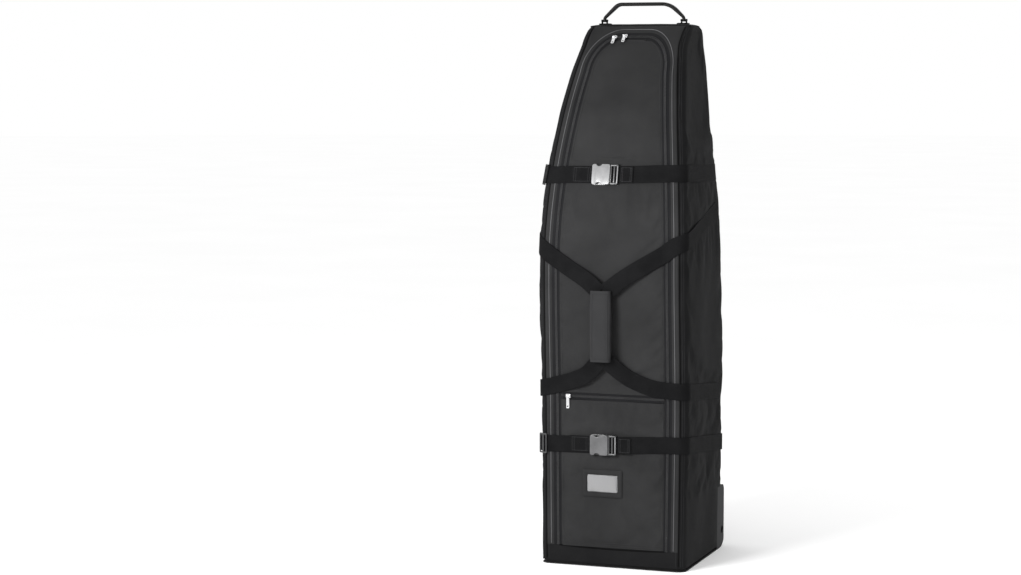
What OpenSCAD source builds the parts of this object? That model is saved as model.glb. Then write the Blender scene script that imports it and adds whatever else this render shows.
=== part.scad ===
// Golf travel case: a tall soft bag that leans back at the top, with a zipped front cover, a zipped
// pocket with an ID window, two compression straps, a four-legged carry handle, a top handle and
// two inline wheels in moulded corner housings. Millimetres, +Z up, the front faces -Y.

/* [Bag] */
// Height of the fabric body, without the top handle
bag_h = 1230; // [1200:5:1240]
// Half of the width at the base
base_half_w = 170.6; // [166:0.2:172]
// How much each side bulges at mid height
side_belly = 3; // [1:0.5:4]
// How much narrower each side is at the top
side_taper = 45; // [35:1:50]
// Y of the front face at the base
front_base_y = -156; // [-158:1:-152]
// Y of the front face at its fullest
front_belly_y = -171; // [-173:1:-168]
// Y of the front edge of the top ridge
ridge_y = 66; // [50:1:75]
// Y of the back panel at the base
back_base_y = 186; // [180:1:190]
// How far the back leans forward from base to top
back_lean = 30; // [20:1:40]
// Thickness of the padded fabric panels
panel_t = 3; // [2:0.5:4]

/* [Cover and zip] */
// Gap from the cover's edge to the bag's side
cover_inset = 43; // [38:1:48]
// Height of the cover's bottom seam
cover_z = 45; // [40:1:50]
// Height of the fold line of the cover's upper flap
fold_z = 936; // [925:1:945]
// Height at which the zip's arch begins
arch_z = 1120; // [1100:5:1130]
// Height of the top of the arch
arch_top_z = 1200; // [1190:1:1205]
// Width of one half of the zip tape
tape_w = 8; // [6:1:9]
// Radius of the seam piping
piping_r = 1.5; // [1:0.25:1.5]
// Height of the pocket's zip
pocket_zip_z = 389; // [380:1:395]

/* [Straps and handles] */
// Width of the webbing
web_w = 38; // [36:1:40]
// Thickness of the webbing
web_t = 1.8; // [1.4:0.2:2.2]
// Height of the upper strap's centre
upper_strap_z = 890; // [885:1:893]
// Height of the lower strap's centre
lower_strap_z = 281; // [275:1:290]
// X of the middle of both buckles
buckle_x = -19; // [-25:1:-10]
// Length of a closed buckle
buckle_l = 61; // [58:1:66]
// Height of a buckle along the bag
buckle_h = 46; // [44:1:50]
// Lower end of the carry grip
grip_low_z = 474; // [470:1:480]
// Upper end of the carry grip
grip_top_z = 634; // [628:1:640]
// Height of the top handle's bar
handle_top_z = 1282; // [1275:1:1290]

/* [Wheels] */
// Radius of a wheel
wheel_r = 38; // [36:0.5:39]
// Width of a wheel
wheel_w = 24; // [22:1:25]
// Distance of a wheel's middle from the bag's centre
wheel_x = 129; // [127:1:131]
// Y of the axles
axle_y = 168; // [167:0.5:168.5]
// Height of the axles
axle_z = 41; // [40:0.5:42]
// Rear face of the wheel housings
housing_y = 206; // [205:0.5:207]
// Height of the wheel housings
housing_h = 148; // [140:1:150]

/* [Hidden] */
$fn = 48;

taper_z = 700;                      // the sides begin to taper here
belly_z = 690;                      // the front is fullest here
front_r = 20;                       // vertical front corners
top_r = 35;                         // the back's top edge
side_top_r = 12;                    // the sides' top edges
seam_inset = 15;                    // the front seam, in from the side
lame = 1.8;                         // roundness of the front's backward curve
gap = 0.4;                          // between neighbouring panels
seam_gap = 2;                       // half of the channel that holds the seam's cord
hem_z = 8;                          // lower edge of the side fabric
cap_z = bag_h - 4;                  // upper edge of the side fabric
arch_flat = 30;                     // half of the straight top of the arch
arch_s = 0.3;                       // share of the zip's path that is arch
hinge_s = arch_s + (1 - arch_s) * (arch_z - fold_z) / (arch_z - cover_z);

function clamp01(t) = max(0, min(1, t));
function ease(a, b, z) = let (t = clamp01((z - a) / (b - a))) t * t * (3 - 2 * t);
function mix(a, b, t) = a + (b - a) * t;
function round_in(z, r) = let (e = max(0, min(r, z - (bag_h - r)))) r - sqrt(r * r - e * e);

// Half width, front and back of the bag, and the radius of its rear corners, at a height
function half_w(z) = base_half_w + side_belly * sin(0.18 * min(z, 1000))
    - side_taper * pow(clamp01((z - taper_z) / 480), lame) - round_in(z, side_top_r);
function front_y(z) = let (t = clamp01((z - belly_z) / (bag_h - belly_z)))
    mix(front_base_y, front_belly_y, ease(330, belly_z, z))
    + (ridge_y - front_belly_y) * (1 - pow(1 - pow(t, lame), 1 / lame));
function back_y(z) = back_base_y - back_lean * z / bag_h - round_in(z, top_r);
function rear_r(z) = 45 + 30 * ease(500, 800, z) - 40 * ease(1000, 1180, z);

// The tangent lengths of the outline at a height: front flat, front corner, side, rear corner
function corner_u(z) = half_w(z) - front_r;
function side_u(z) = corner_u(z) + front_r * PI / 2;
function rear_corner_u(z) = side_u(z) + back_y(z) - front_y(z) - front_r - rear_r(z);
function rear_u(z) = rear_corner_u(z) + rear_r(z) * PI / 2;
function seam_u(z) = half_w(z) - seam_inset;
function cover_u(z) = half_w(z) - cover_inset;
// The length from the front's middle to the point of the side at depth y
function depth_u(y, z) = side_u(z) + y - front_y(z) - front_r;

// Outline of the bag at a height: [x, y, normal x, normal y] at length u from the front's middle
function section(u, z) = let (v = abs(u), s = u < 0 ? -1 : 1, w = half_w(z), r = rear_r(z))
    v < corner_u(z) ? [u, front_y(z), 0, -1]
    : v < side_u(z) ? let (t = (v - corner_u(z)) / front_r * 180 / PI)
        [s * (w - front_r + front_r * sin(t)), front_y(z) + front_r * (1 - cos(t)), s * sin(t), -cos(t)]
    : v < rear_corner_u(z) ? [s * w, front_y(z) + front_r + v - side_u(z), s, 0]
    : v < rear_u(z) ? let (t = (v - rear_corner_u(z)) / r * 180 / PI)
        [s * (w - r + r * cos(t)), back_y(z) - r + r * sin(t), s * cos(t), sin(t)]
    : [s * (w - r - v + rear_u(z)), back_y(z), 0, 1];

// How far the outline moves outwards for each millimetre of height
function flare(u, z) = let (a = section(u, z - 1), b = section(u, z + 1), n = section(u, z))
    ((b.x - a.x) * n[2] + (b.y - a.y) * n[3]) / 2;
// The point at [length u, height z] of the bag's skin, t outwards
function skin(q, t) = let (n = section(q[0], q[1]), f = flare(q[0], q[1]), k = t / sqrt(1 + f * f))
    [n.x + n[2] * k, n.y + n[3] * k, q[1] - f * k];

// A closed sheet between two grids of points
module sheet_between(outer, inner) {
    nv = len(outer) - 1;
    nu = len(outer[0]) - 1;
    row = nu + 1;
    back = row * (nv + 1);
    points = concat([for (line = outer) each line], [for (line = inner) each line]);
    faces = concat(
        [for (j = [0:nv - 1], i = [0:nu - 1]) let (p = j * row + i) each
            [[p, p + row, p + row + 1], [p, p + row + 1, p + 1],
             [back + p, back + p + row + 1, back + p + row], [back + p, back + p + 1, back + p + row + 1]]],
        [for (i = [0:nu - 1]) let (p = i, q = nv * row + i) each
            [[p, p + 1, back + p + 1], [p, back + p + 1, back + p],
             [q + 1, q, back + q], [q + 1, back + q, back + q + 1]]],
        [for (j = [0:nv - 1]) let (p = j * row, q = j * row + nu) each
            [[p + row, p, back + p], [p + row, back + p, back + p + row],
             [q, q + row, back + q + row], [q, back + q + row, back + q]]]);
    polyhedron(points, faces, convexity = 6);
}

// A sheet that lies on the skin: path(a, b) gives [u, z], and lift(a) how far it stands off
module skin_sheet(path, nu, nv, t_in, t_out, lift = function (a) 0) {
    sheet_between(
        [for (j = [0:nv]) [for (i = [0:nu]) skin(path(i / nu, j / nv), t_out + lift(i / nu))]],
        [for (j = [0:nv]) [for (i = [0:nu]) skin(path(i / nu, j / nv), t_in + lift(i / nu))]]);
}

// Edge of the cover: s runs from -1, the foot of the left leg, over the arch, to 1
function edge_point(s) = let (v = abs(s), g = s < 0 ? -1 : 1, flat_s = arch_s / 6,
        c = cover_u(arch_z) - arch_flat, t = clamp01((v - flat_s) / (arch_s - flat_s)) * 90)
    v < flat_s ? [arch_flat * s / flat_s, arch_top_z]
    : v < arch_s ? [g * (arch_flat + c * sin(t)), arch_z + (arch_top_z - arch_z) * cos(t)]
    : let (z = mix(arch_z, cover_z, (v - arch_s) / (1 - arch_s))) [g * cover_u(z), z];
function edge_normal(s) = let (g = s < 0 ? -1 : 1, flat_s = arch_s / 6,
        t = clamp01((abs(s) - flat_s) / (arch_s - flat_s)) * 90) [g * sin(t), cos(t)];
// Outer edge of the border, matched to the same s: up the seam and along the ridge
function border_point(s) = let (v = abs(s), g = s < 0 ? -1 : 1, turn = arch_s / 3)
    v > arch_s ? let (z = mix(arch_z, cover_z, (v - arch_s) / (1 - arch_s))) [g * (seam_u(z) - seam_gap), z]
    : v > turn ? let (z = mix(cap_z, arch_z, (v - turn) / (arch_s - turn))) [g * (seam_u(z) - seam_gap), z]
    : [(seam_u(cap_z) - seam_gap) * s / turn, cap_z];

// A strip beside the cover's edge, from d0 to d1 outwards
module edge_strip(s0, s1, d0, d1, steps, t_in, t_out) {
    skin_sheet(function (a, b) let (s = mix(s0, s1, a)) edge_point(s) + edge_normal(s) * mix(d0, d1, b),
        steps, 1, t_in, t_out);
}

// A panel between two lengths that follow the height
module panel(u0, u1, z0, z1, nu, nv, t_in = -panel_t, t_out = 0) {
    skin_sheet(function (a, b) let (z = mix(z0, z1, b)) [mix(u0(z), u1(z), a), z], nu, nv, t_in, t_out);
}

// Smooth path through points [u, z, lift]
function spline(p, t) = let (n = len(p) - 1, k = min(n - 1, floor(t * n)), f = t * n - k,
        a = p[max(0, k - 1)], b = p[k], c = p[k + 1], d = p[min(n, k + 2)])
    b + 0.5 * f * ((c - a) + f * ((2 * a - 5 * b + 4 * c - d) + f * (3 * b - a - 3 * c + d)));
// Webbing along such a path
module webbing(points, steps, width = web_w, base = piping_r + 0.6) {
    color([0.10, 0.10, 0.11])
        skin_sheet(function (a, b)
                let (p = spline(points, a), q = spline(points, clamp01(a + 0.01)), o = spline(points, clamp01(a - 0.01)),
                    d = [q[0] - o[0], q[1] - o[1]], m = [-d[1], d[0]] / norm(d))
                [p[0], p[1]] + m * (b - 0.5) * width,
            steps, 2, base, base + web_t, function (a) spline(points, a)[2]);
}

// Stands children on the skin: local X along the outline, local Y up, local Z outwards
module on_skin(u, z, t = 0) {
    n = section(u, z);
    translate(skin([u, z], t))
        rotate([0, 0, atan2(n[2], -n[3])])
        rotate([90 - atan(-flare(u, z)), 0, 0])
        children();
}
// A rectangle with true round corners, built without a hull so that it stays exact
module plate(w, h, r, t) {
    linear_extrude(t) {
        square([w - 2 * r, h], center = true);
        square([w, h - 2 * r], center = true);
        for (x = [-1, 1], y = [-1, 1])
            translate([x * (w / 2 - r), y * (h / 2 - r)]) circle(r, $fn = 24);
    }
}
module mirrored(side) {
    mirror([side < 0 ? 1 : 0, 0, 0]) children();
}

// ---- fabric shell ----
fabric = [0.17, 0.17, 0.18];
front_fabric = [0.24, 0.24, 0.25];
function inner_cover_u(z) = z < arch_z ? cover_u(z) - tape_w
    : let (f = clamp01((z - arch_z) / (arch_top_z - tape_w - arch_z)))
        arch_flat + (cover_u(arch_z) - tape_w - arch_flat) * sqrt(1 - f * f);
module cover_piece(z0, z1, nu, nv) {
    color(front_fabric)
        panel(function (z) -inner_cover_u(z), function (z) inner_cover_u(z), z0, z1, nu, nv);
}
module cover_lower() { cover_piece(pocket_zip_z + tape_w + gap, fold_z - 2.5, 6, 14); }
module cover_flap() { cover_piece(fold_z + 1, arch_top_z - tape_w, 8, 14); }
module pocket_panel() { cover_piece(cover_z, pocket_zip_z - tape_w - gap, 6, 8); }
module pocket_lining() {
    color([0.3, 0.3, 0.32])
        panel(function (z) -inner_cover_u(z), function (z) inner_cover_u(z), cover_z, pocket_zip_z + tape_w, 4, 5,
            -panel_t - 1.6, -panel_t - gap);
}
module pocket_zip_tape() {
    color([0.08, 0.08, 0.09])
        panel(function (z) -inner_cover_u(z), function (z) inner_cover_u(z),
            pocket_zip_z - tape_w, pocket_zip_z + tape_w, 4, 2, -1.4, -0.2);
}
module front_kick() {
    color(fabric)
        panel(function (z) -seam_u(z) + seam_gap, function (z) seam_u(z) - seam_gap, hem_z, cover_z - gap, 8, 2);
}
module zip_border() {
    color(fabric)
        skin_sheet(function (a, b) let (s = mix(-1, 1, a), d = tape_w + 2,
                    inner = edge_point(s) + edge_normal(s) * d)
                mix(inner, border_point(s), b),
            72, 1, -panel_t, 0);
}
module zip_tape_fixed() { color([0.08, 0.08, 0.09]) edge_strip(-1, 1, 0.4, tape_w + 1.6, 72, -1.4, -0.2); }
module zip_tape_lower() {
    color([0.08, 0.08, 0.09]) {
        edge_strip(-1, -hinge_s - 0.001, -tape_w + gap, -0.4, 14, -1.4, -0.2);
        edge_strip(hinge_s + 0.001, 1, -tape_w + gap, -0.4, 14, -1.4, -0.2);
    }
}
module zip_tape_flap() {
    color([0.08, 0.08, 0.09]) edge_strip(-hinge_s + 0.002, hinge_s - 0.002, -tape_w + gap, -0.4, 40, -1.4, -0.2);
}
// Round cord sewn into the front seam
module seam_piping() {
    rings = 30;
    sides = 6;
    color([0.07, 0.07, 0.08])
        for (side = [-1, 1]) mirrored(side)
            polyhedron(
                concat([for (k = [0:rings]) let (z = mix(hem_z + 2, cap_z - 4, k / rings), c = skin([seam_u(z), z], -0.5))
                        each [for (i = [0:sides - 1]) c + piping_r * [cos(60 * i), sin(60 * i), 0]]]),
                concat([for (k = [0:rings - 1], i = [0:sides - 1]) let (j = (i + 1) % sides, p = k * sides)
                        each [[p + i, p + sides + i, p + sides + j], [p + i, p + sides + j, p + j]]],
                    [[for (i = [0:sides - 1]) i], [for (i = [sides - 1:-1:0]) rings * sides + i]]));
}
module side_panel() {
    color(fabric) {
        panel(function (z) seam_u(z) + seam_gap, function (z) depth_u(housing_front_y - 2, z),
            hem_z, housing_h + 1, 10, 3);
        panel(function (z) seam_u(z) + seam_gap, function (z) rear_u(z) + 12, housing_h + 1 + gap, cap_z, 16, 22);
    }
}
module side_panel_left() { mirrored(-1) side_panel(); }
module side_panel_right() { side_panel(); }
module back_panel() {
    color(fabric)
        panel(function (z) rear_u(z) + 13, function (z) rear_u(z) + 2 * (half_w(z) - rear_r(z)) - 13,
            housing_h + 1 + gap, cap_z, 6, 22);
}
// Coarse woven panel between the wheel housings
module rear_mesh() {
    color([0.12, 0.12, 0.13])
        translate([-housing_x0 + 1, back_base_y - 3, hem_z]) cube([2 * housing_x0 - 2, 3, housing_h - hem_z]);
}
// Half width of the ridge at depth y, following the round rear corners
function ridge_half(y) = let (w = half_w(cap_z), r = rear_r(cap_z), e = max(0, y - back_y(cap_z) + r))
    w - r + sqrt(max(0, r * r - e * e));
module top_panel() {
    n = 8;
    m = 8;
    y0 = front_y(cap_z) + 2;
    y1 = back_y(cap_z) - 1;
    function crown(a, b) = 2 * (1 - pow(2 * a - 1, 4)) * (1 - pow(2 * b - 1, 2));
    function at(a, b, t) = let (y = mix(y0, y1, sin(90 * b)), w = ridge_half(y))
        [mix(-w, w, a), y, cap_z + gap + crown(a, b) + t];
    color(fabric)
        sheet_between([for (j = [0:m]) [for (i = [0:n]) at(i / n, j / m, panel_t)]],
            [for (j = [0:m]) [for (i = [0:n]) at(i / n, j / m, 0)]]);
}
module base_outline(inset) {
    w = base_half_w - inset;
    f = front_base_y + inset;
    r = front_r - inset / 2;
    difference() {
        union() {
            translate([-w + r, f]) square([2 * (w - r), back_base_y - inset - f]);
            translate([-w, f + r]) square([2 * w, back_base_y - inset - f - r]);
            for (x = [-1, 1]) translate([x * (w - r), f + r]) circle(r);
        }
        for (x = [-1, 1]) translate([x > 0 ? housing_x0 - 2 : -base_half_w - 2, housing_front_y - 2])
            square([base_half_w + 4 - housing_x0, 200]);
    }
}
module bottom_panel() { color([0.1, 0.1, 0.11]) linear_extrude(2.4) base_outline(0); }
module base_board() { color([0.2, 0.2, 0.2]) translate([0, 0, 2.8]) linear_extrude(4) base_outline(6); }
module lining() {
    color([0.35, 0.35, 0.38])
        for (side = [-1, 1]) mirrored(side)
            panel(function (z) seam_u(z) + 2, function (z) rear_u(z) + half_w(z) - rear_r(z) - 0.3,
                housing_h + 6, cap_z - 36, 16, 12, -panel_t - 7.6, -panel_t - 6.6);
}
// Foam that protects the club heads
module club_padding() {
    color([0.45, 0.45, 0.47])
        for (side = [-1, 1]) mirrored(side)
            panel(function (z) side_u(z) + 6, function (z) rear_u(z) + half_w(z) - rear_r(z) - 0.3,
                760, cap_z - 50, 14, 8, -panel_t - 21, -panel_t - 11.5);
}

// ---- zip sliders ----
nickel = [0.75, 0.75, 0.76];
// Height of the cover's edge at x
function edge_z(x) = let (e = max(0, abs(x) - arch_flat) / (cover_u(arch_z) - arch_flat))
    arch_z + (arch_top_z - arch_z) * sqrt(1 - e * e);
slider_left_x = -46;
slider_right_x = -22;
pocket_slider_x = -104;
pull_t = 5.9;                       // height of the pulls' pins above the skin
module slider_body() {
    color(nickel) {
        difference() {
            translate([0, 0, 0.2]) plate(11, 9, 2, 3.6);
            translate([0, 0, 2.6]) cube([5, 12, 0.8], center = true);
        }
        for (x = [-1, 1]) translate([x * 3.2 - 0.8, -1.6, 3.7]) cube([1.6, 3.2, 3.4]);
    }
}
// Flat pull with a round hole near its end: it turns about its own origin and points to -Y
module pull_tab(length) {
    color(nickel) {
        difference() {
            translate([0, -length / 2 - 1.5, -0.9]) plate(7, length - 3, 2.4, 1.8);
            translate([0, -length + 4.6, -2]) cylinder(r = 1.8, h = 4);
        }
        translate([-2, 0, 0]) rotate([0, 90, 0]) cylinder(r = 1.1, h = 4);
        translate([-2, -3.5, -0.9]) cube([4, 3.5, 1.8]);
    }
}
module zip_slider_left() { on_skin(slider_left_x, edge_z(slider_left_x), 0.4) slider_body(); }
module zip_slider_right() { on_skin(slider_right_x, edge_z(slider_right_x), 0.4) slider_body(); }
module zip_pull_left() { on_skin(slider_left_x, edge_z(slider_left_x), pull_t) pull_tab(25); }
module zip_pull_right() { on_skin(slider_right_x, edge_z(slider_right_x), pull_t) pull_tab(25); }
module pocket_slider() { on_skin(pocket_slider_x, pocket_zip_z, 0.4) slider_body(); }
module pocket_pull() { on_skin(pocket_slider_x, pocket_zip_z, pull_t) pull_tab(28); }

// ---- ID window ----
id_x = -23;
id_z = 192;
id_w = 93;
id_h = 62;
module id_frame() {
    color([0.09, 0.09, 0.10]) on_skin(id_x, id_z, 0.3)
        difference() {
            plate(id_w, id_h, 3, 1.8);
            translate([0, 0, -1]) plate(id_w - 20, id_h - 22, 4, 4);
        }
}
module id_window() { color([0.8, 0.8, 0.82, 0.4]) on_skin(id_x, id_z, 1.1) plate(id_w - 21, id_h - 23, 3.5, 0.6); }
module id_card() { color([0.55, 0.56, 0.58]) on_skin(id_x, id_z, 0.3) plate(id_w - 26, id_h - 27, 1, 0.5); }

// ---- compression straps ----
module upper_strap_left() {
    webbing([[-440, upper_strap_z, 0], [-300, upper_strap_z, 0], [-190, upper_strap_z - 2, 0],
        [-150, upper_strap_z - 2, 0], [-100, upper_strap_z, 0.4], [buckle_x - buckle_l / 2 - 1, upper_strap_z, 0.8]], 60);
}
module upper_strap_right() {
    webbing([[buckle_x + buckle_l / 2 + 1, upper_strap_z, 2.4], [60, upper_strap_z + 2, 1.4], [110, upper_strap_z + 4, 0.2],
        [150, upper_strap_z + 5, 0], [210, upper_strap_z + 4, 0], [300, upper_strap_z, 0], [440, upper_strap_z, 0]], 60);
}
module lower_strap_left() {
    webbing([[-470, lower_strap_z - 26, 0], [-330, lower_strap_z - 14, 0], [-200, lower_strap_z - 4, 0],
        [-150, lower_strap_z - 3, 0], [-100, lower_strap_z - 2, 0.4], [buckle_x - buckle_l / 2 - 1, lower_strap_z - 1, 0.8]], 60);
}
module lower_strap_right() {
    webbing([[buckle_x + buckle_l / 2 + 1, lower_strap_z, 2.4], [60, lower_strap_z + 3, 1.4], [110, lower_strap_z + 5, 0.2],
        [156, lower_strap_z + 6, 0], [240, lower_strap_z, 0], [340, lower_strap_z - 12, 0], [470, lower_strap_z - 26, 0]], 60);
}
module glide(w, h, bar) {
    difference() {
        plate(w, h, 3, 2.6);
        for (x = [-1, 1]) translate([x * (w / 4 - bar / 4 + 0.4), 0, -1])
            linear_extrude(5) square([w / 2 - 1.4 * bar, h - 7], center = true);
    }
}
module upper_tri_glide() { color([0.05, 0.05, 0.06]) on_skin(-164, upper_strap_z - 2, 4.4) glide(26, 47, 4); }
module lower_ladder_bar() { color(nickel) on_skin(-162, lower_strap_z - 3, 4.4) glide(22, 46, 3.5); }

// ---- side-release buckles: local X towards the male half ----
female_l = buckle_l - 19;
module buckle_at(z) { on_skin(buckle_x, z, 0.8) children(); }
module buckle_female() {
    color([0.20, 0.20, 0.21])
        translate([-buckle_l / 2, 0, 0])
        difference() {
            translate([female_l / 2, 0, 0]) plate(female_l, buckle_h, 5, 12);
            translate([10, -buckle_h / 2 + 5, 3]) cube([female_l, buckle_h - 10, 6.5]);
            for (y = [-1, 1]) translate([13, y * buckle_h / 2 - 8, 2.5]) cube([16, 16, 7.5]);
            translate([3, -buckle_h / 2 + 5, -1]) cube([3.5, buckle_h - 10, 9]);
        }
}
module buckle_male() {
    color([0.16, 0.16, 0.17])
        translate([-buckle_l / 2, 0, 0]) {
            difference() {
                translate([female_l + 0.5 + 9, 0, 1]) plate(18, buckle_h, 4, 10);
                for (x = [4, 10.5]) translate([female_l + x, -buckle_h / 2 + 5, 0]) cube([3.5, buckle_h - 10, 20]);
            }
            translate([14, -4, 4.6]) cube([female_l - 13, 8, 3.2]);
        }
}
module buckle_prongs() {
    color([0.10, 0.10, 0.11])
        translate([-buckle_l / 2, 0, 4.2])
        for (y = [-1, 1]) scale([1, y, 1]) {
            translate([27, 10, 0]) cube([female_l - 26.6, 4, 4]);
            translate([15, 12, 0]) linear_extrude(4)
                polygon([[0, 0], [12, -2], [12, 2], [13, 8.5], [4, 8.5]]);
        }
}
module upper_buckle_female() { buckle_at(upper_strap_z) buckle_female(); }
module upper_buckle_male() { buckle_at(upper_strap_z) buckle_male(); }
module upper_buckle_prongs() { buckle_at(upper_strap_z) buckle_prongs(); }
module lower_buckle_female() { buckle_at(lower_strap_z) buckle_female(); }
module lower_buckle_male() { buckle_at(lower_strap_z) buckle_male(); }
module lower_buckle_prongs() { buckle_at(lower_strap_z) buckle_prongs(); }

// ---- carry handle: four webs that meet in a wrapped grip ----
grip_x = -16;
grip_y = -196;
grip_off = 23;
module carry_web_upper_left() {
    webbing([[-330, 790, 0], [-230, 762, 0], [-178, 735, 0], [-140, 708, 0.6], [-97, 681, 4],
        [-52, 655, 14], [grip_x - 10, grip_top_z + 4, grip_off - 2]], 56);
}
module carry_web_upper_right() {
    webbing([[grip_x + 14, grip_top_z + 4, grip_off - 2], [34, 662, 13], [79, 690, 4], [120, 714, 0.4],
        [158, 739, 0], [210, 752, 0], [300, 776, 0], [410, 805, 0]], 60);
}
module carry_web_lower_left() {
    webbing([[-330, 390, 0], [-230, 396, 0], [-172, 404, 0], [-130, 414, 0.6], [-88, 427, 4],
        [-54, 444, 12], [grip_x - 10, grip_low_z - 6, grip_off - 1]], 56);
}
module carry_web_lower_right() {
    webbing([[grip_x + 14, grip_low_z - 6, grip_off - 1], [26, 448, 12], [54, 430, 4], [100, 414, 0.6],
        [156, 409, 0], [240, 401, 0], [330, 392, 0], [432, 380, 0]], 60);
}
module carry_grip() {
    color([0.13, 0.13, 0.14])
        translate([grip_x, grip_y, grip_low_z + 20]) {
            length = grip_top_z - grip_low_z - 40;
            translate([-14, 0, 0]) cylinder(r = 11, h = length);
            translate([14, 0, 0]) cylinder(r = 11, h = length);
            translate([-14, -11, 0]) cube([28, 22, length]);
        }
}

// ---- top handle ----
handle_x = -6;
handle_y = 95;
handle_pivot_z = 1240;
handle_w = 18;
foot_x = 96;
bar_x = 62;
module top_handle_loop() {
    rise = handle_top_z - handle_pivot_z;
    color([0.05, 0.05, 0.06]) translate([handle_x, handle_y, handle_pivot_z]) {
        for (side = [-1, 1]) mirrored(side) {
            translate([-foot_x + 2, 0, 0]) rotate([0, 90, 0]) cylinder(r = 4, h = 9, center = true);
            rotate([90, 0, 0]) translate([0, 0, -handle_w / 2]) linear_extrude(handle_w)
                polygon([[-foot_x - 4, 3], [-foot_x + 6, 3], [-bar_x + 6, rise - 6], [-bar_x - 1, rise - 1]]);
        }
        translate([-bar_x, -handle_w / 2, rise - 7]) cube([2 * bar_x, handle_w, 5]);
    }
}
module top_handle_sleeve() {
    rise = handle_top_z - handle_pivot_z;
    color([0.08, 0.08, 0.09]) translate([handle_x, handle_y, handle_pivot_z + rise - 4.5])
        difference() {
            translate([-bar_x + 8, 0, 0]) rotate([0, 90, 0]) rotate([0, 0, 90])
                linear_extrude(2 * bar_x - 16) intersection() {
                    square([handle_w + 4, 9], center = true);
                    circle(r = 11.6);
                }
            translate([-bar_x, -handle_w / 2 - 0.1, -2.6]) cube([2 * bar_x, handle_w + 0.2, 5.2]);
        }
}
module top_handle_anchors() {
    color([0.10, 0.10, 0.11])
        for (side = [-1, 1]) translate([handle_x + side * (foot_x - 2), handle_y, cap_z + panel_t + 2.6])
            plate(22, 16, 3, 2.6);
}

// ---- wheels ----
housing_x0 = 96;
housing_front_y = 122;
cheek = 3;
well = wheel_w + 5;
guard_r = 62;
module housing_side(inset) {
    r = guard_r - inset;
    f = housing_front_y + (inset > 0 ? -1 : 0);
    y1 = housing_y - inset;
    z0 = inset;
    z1 = housing_h - inset;
    difference() {
        translate([f, z0]) square([y1 - f, z1 - z0]);
        difference() {
            translate([y1 - r, z0 - 1]) square([r + 1, r + 1]);
            translate([y1 - r, z0 + r]) circle(r, $fn = 96);
        }
        translate([y1, z1]) rotate(45) square([44, 200], center = true);
    }
}
module housing_plan(inset) {
    r = 26;
    x1 = base_half_w - inset;
    y1 = housing_y + 1;
    x0 = housing_x0 + inset;
    difference() {
        translate([x0, housing_front_y - 1]) square([x1 - x0, y1 - housing_front_y + 1]);
        difference() {
            translate([x1 - r, y1 - r - 1 - inset]) square([r + 1, r + 3 + inset]);
            translate([x1 - r, y1 - r - 1 - inset]) circle(r);
        }
    }
}
module housing_solid(inset) {
    intersection() {
        translate([0, 0, -2]) linear_extrude(housing_h + 4) housing_plan(inset);
        translate([60, 0, 0]) rotate([90, 0, 90]) linear_extrude(130) housing_side(inset);
    }
}
module wheel_housing() {
    slots = 6;
    color([0.22, 0.22, 0.23])
        difference() {
            housing_solid(0);
            difference() {
                housing_solid(cheek);
                translate([wheel_x - well / 2 - cheek, 0, -5]) cube([well + 2 * cheek, 300, 95 + cheek]);
            }
            translate([wheel_x - well / 2, housing_front_y + 4, -5]) cube([well, 300, 95]);
            translate([80, axle_y, axle_z]) rotate([0, 90, 0]) cylinder(r = 4.02, h = 100);
            translate([wheel_x + well / 2 + cheek, axle_y, axle_z]) rotate([0, 90, 0]) cylinder(r = 9, h = 60);
            for (k = [0:slots - 1])
                translate([wheel_x + well / 2 + cheek + 9, housing_y - guard_r, guard_r])
                    rotate([6 - 17 * k, 0, 0]) translate([0, guard_r, 0]) rotate([90, 0, 0])
                    translate([0, 0, -10]) plate(5.5, 9, 2.2, 20);
        }
}
module wheel_housing_left() { mirrored(-1) wheel_housing(); }
module wheel_housing_right() { wheel_housing(); }
module along_axle(x) { translate([x, axle_y, axle_z]) rotate([0, 90, 0]) children(); }
module wheel_axle() {
    color(nickel) {
        along_axle(wheel_x - well / 2 - cheek - 5) cylinder(r = 4, h = well + 2 * cheek + 6);
        difference() {
            along_axle(wheel_x + well / 2 + cheek + 0.2) cylinder(r = 6.8, h = 5);
            along_axle(wheel_x + well / 2 + cheek + 2.4) cylinder(r = 2.9, h = 4, $fn = 6);
        }
        difference() {
            along_axle(wheel_x - well / 2 - cheek - 6.2) cylinder(r = 7, h = 6, $fn = 6);
            along_axle(wheel_x - well / 2 - cheek - 7) cylinder(r = 4, h = 8);
        }
    }
}
module wheel_axle_left() { mirrored(-1) wheel_axle(); }
module wheel_axle_right() { wheel_axle(); }
rim_r = 24;
bearing_r = 11;
module wheel_tyre() {
    color([0.04, 0.04, 0.045]) along_axle(wheel_x)
        rotate_extrude($fn = 96)
        difference() {
            translate([wheel_r - wheel_w / 2, 0]) circle(wheel_w / 2, $fn = 64);
            translate([0, -20]) square([rim_r, 40]);
        }
}
module wheel_hub() {
    ribs = 9;
    color([0.10, 0.10, 0.11]) along_axle(wheel_x)
        difference() {
            union() {
                difference() {
                    cylinder(r = rim_r, h = 18, center = true);
                    cylinder(r = rim_r - 3, h = 30, center = true);
                }
                cylinder(r = bearing_r + 3, h = 19, center = true);
                for (k = [0:ribs - 1]) rotate([0, 0, k * 360 / ribs])
                    translate([bearing_r + 1, -1.2, -8]) cube([rim_r - bearing_r - 3, 2.4, 16]);
            }
            cylinder(r = bearing_r, h = 30, center = true);
        }
}
module wheel_bearings() {
    color(nickel) along_axle(wheel_x) {
        for (x = [-9.5, 2.5]) translate([0, 0, x])
            difference() {
                cylinder(r = bearing_r, h = 7);
                translate([0, 0, -1]) cylinder(r = 4.05, h = 9);
            }
        difference() {
            translate([0, 0, -2.5]) cylinder(r = 6, h = 5);
            translate([0, 0, -4]) cylinder(r = 4.05, h = 8);
        }
    }
}
module wheel_tyre_left() { mirrored(-1) wheel_tyre(); }
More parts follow.
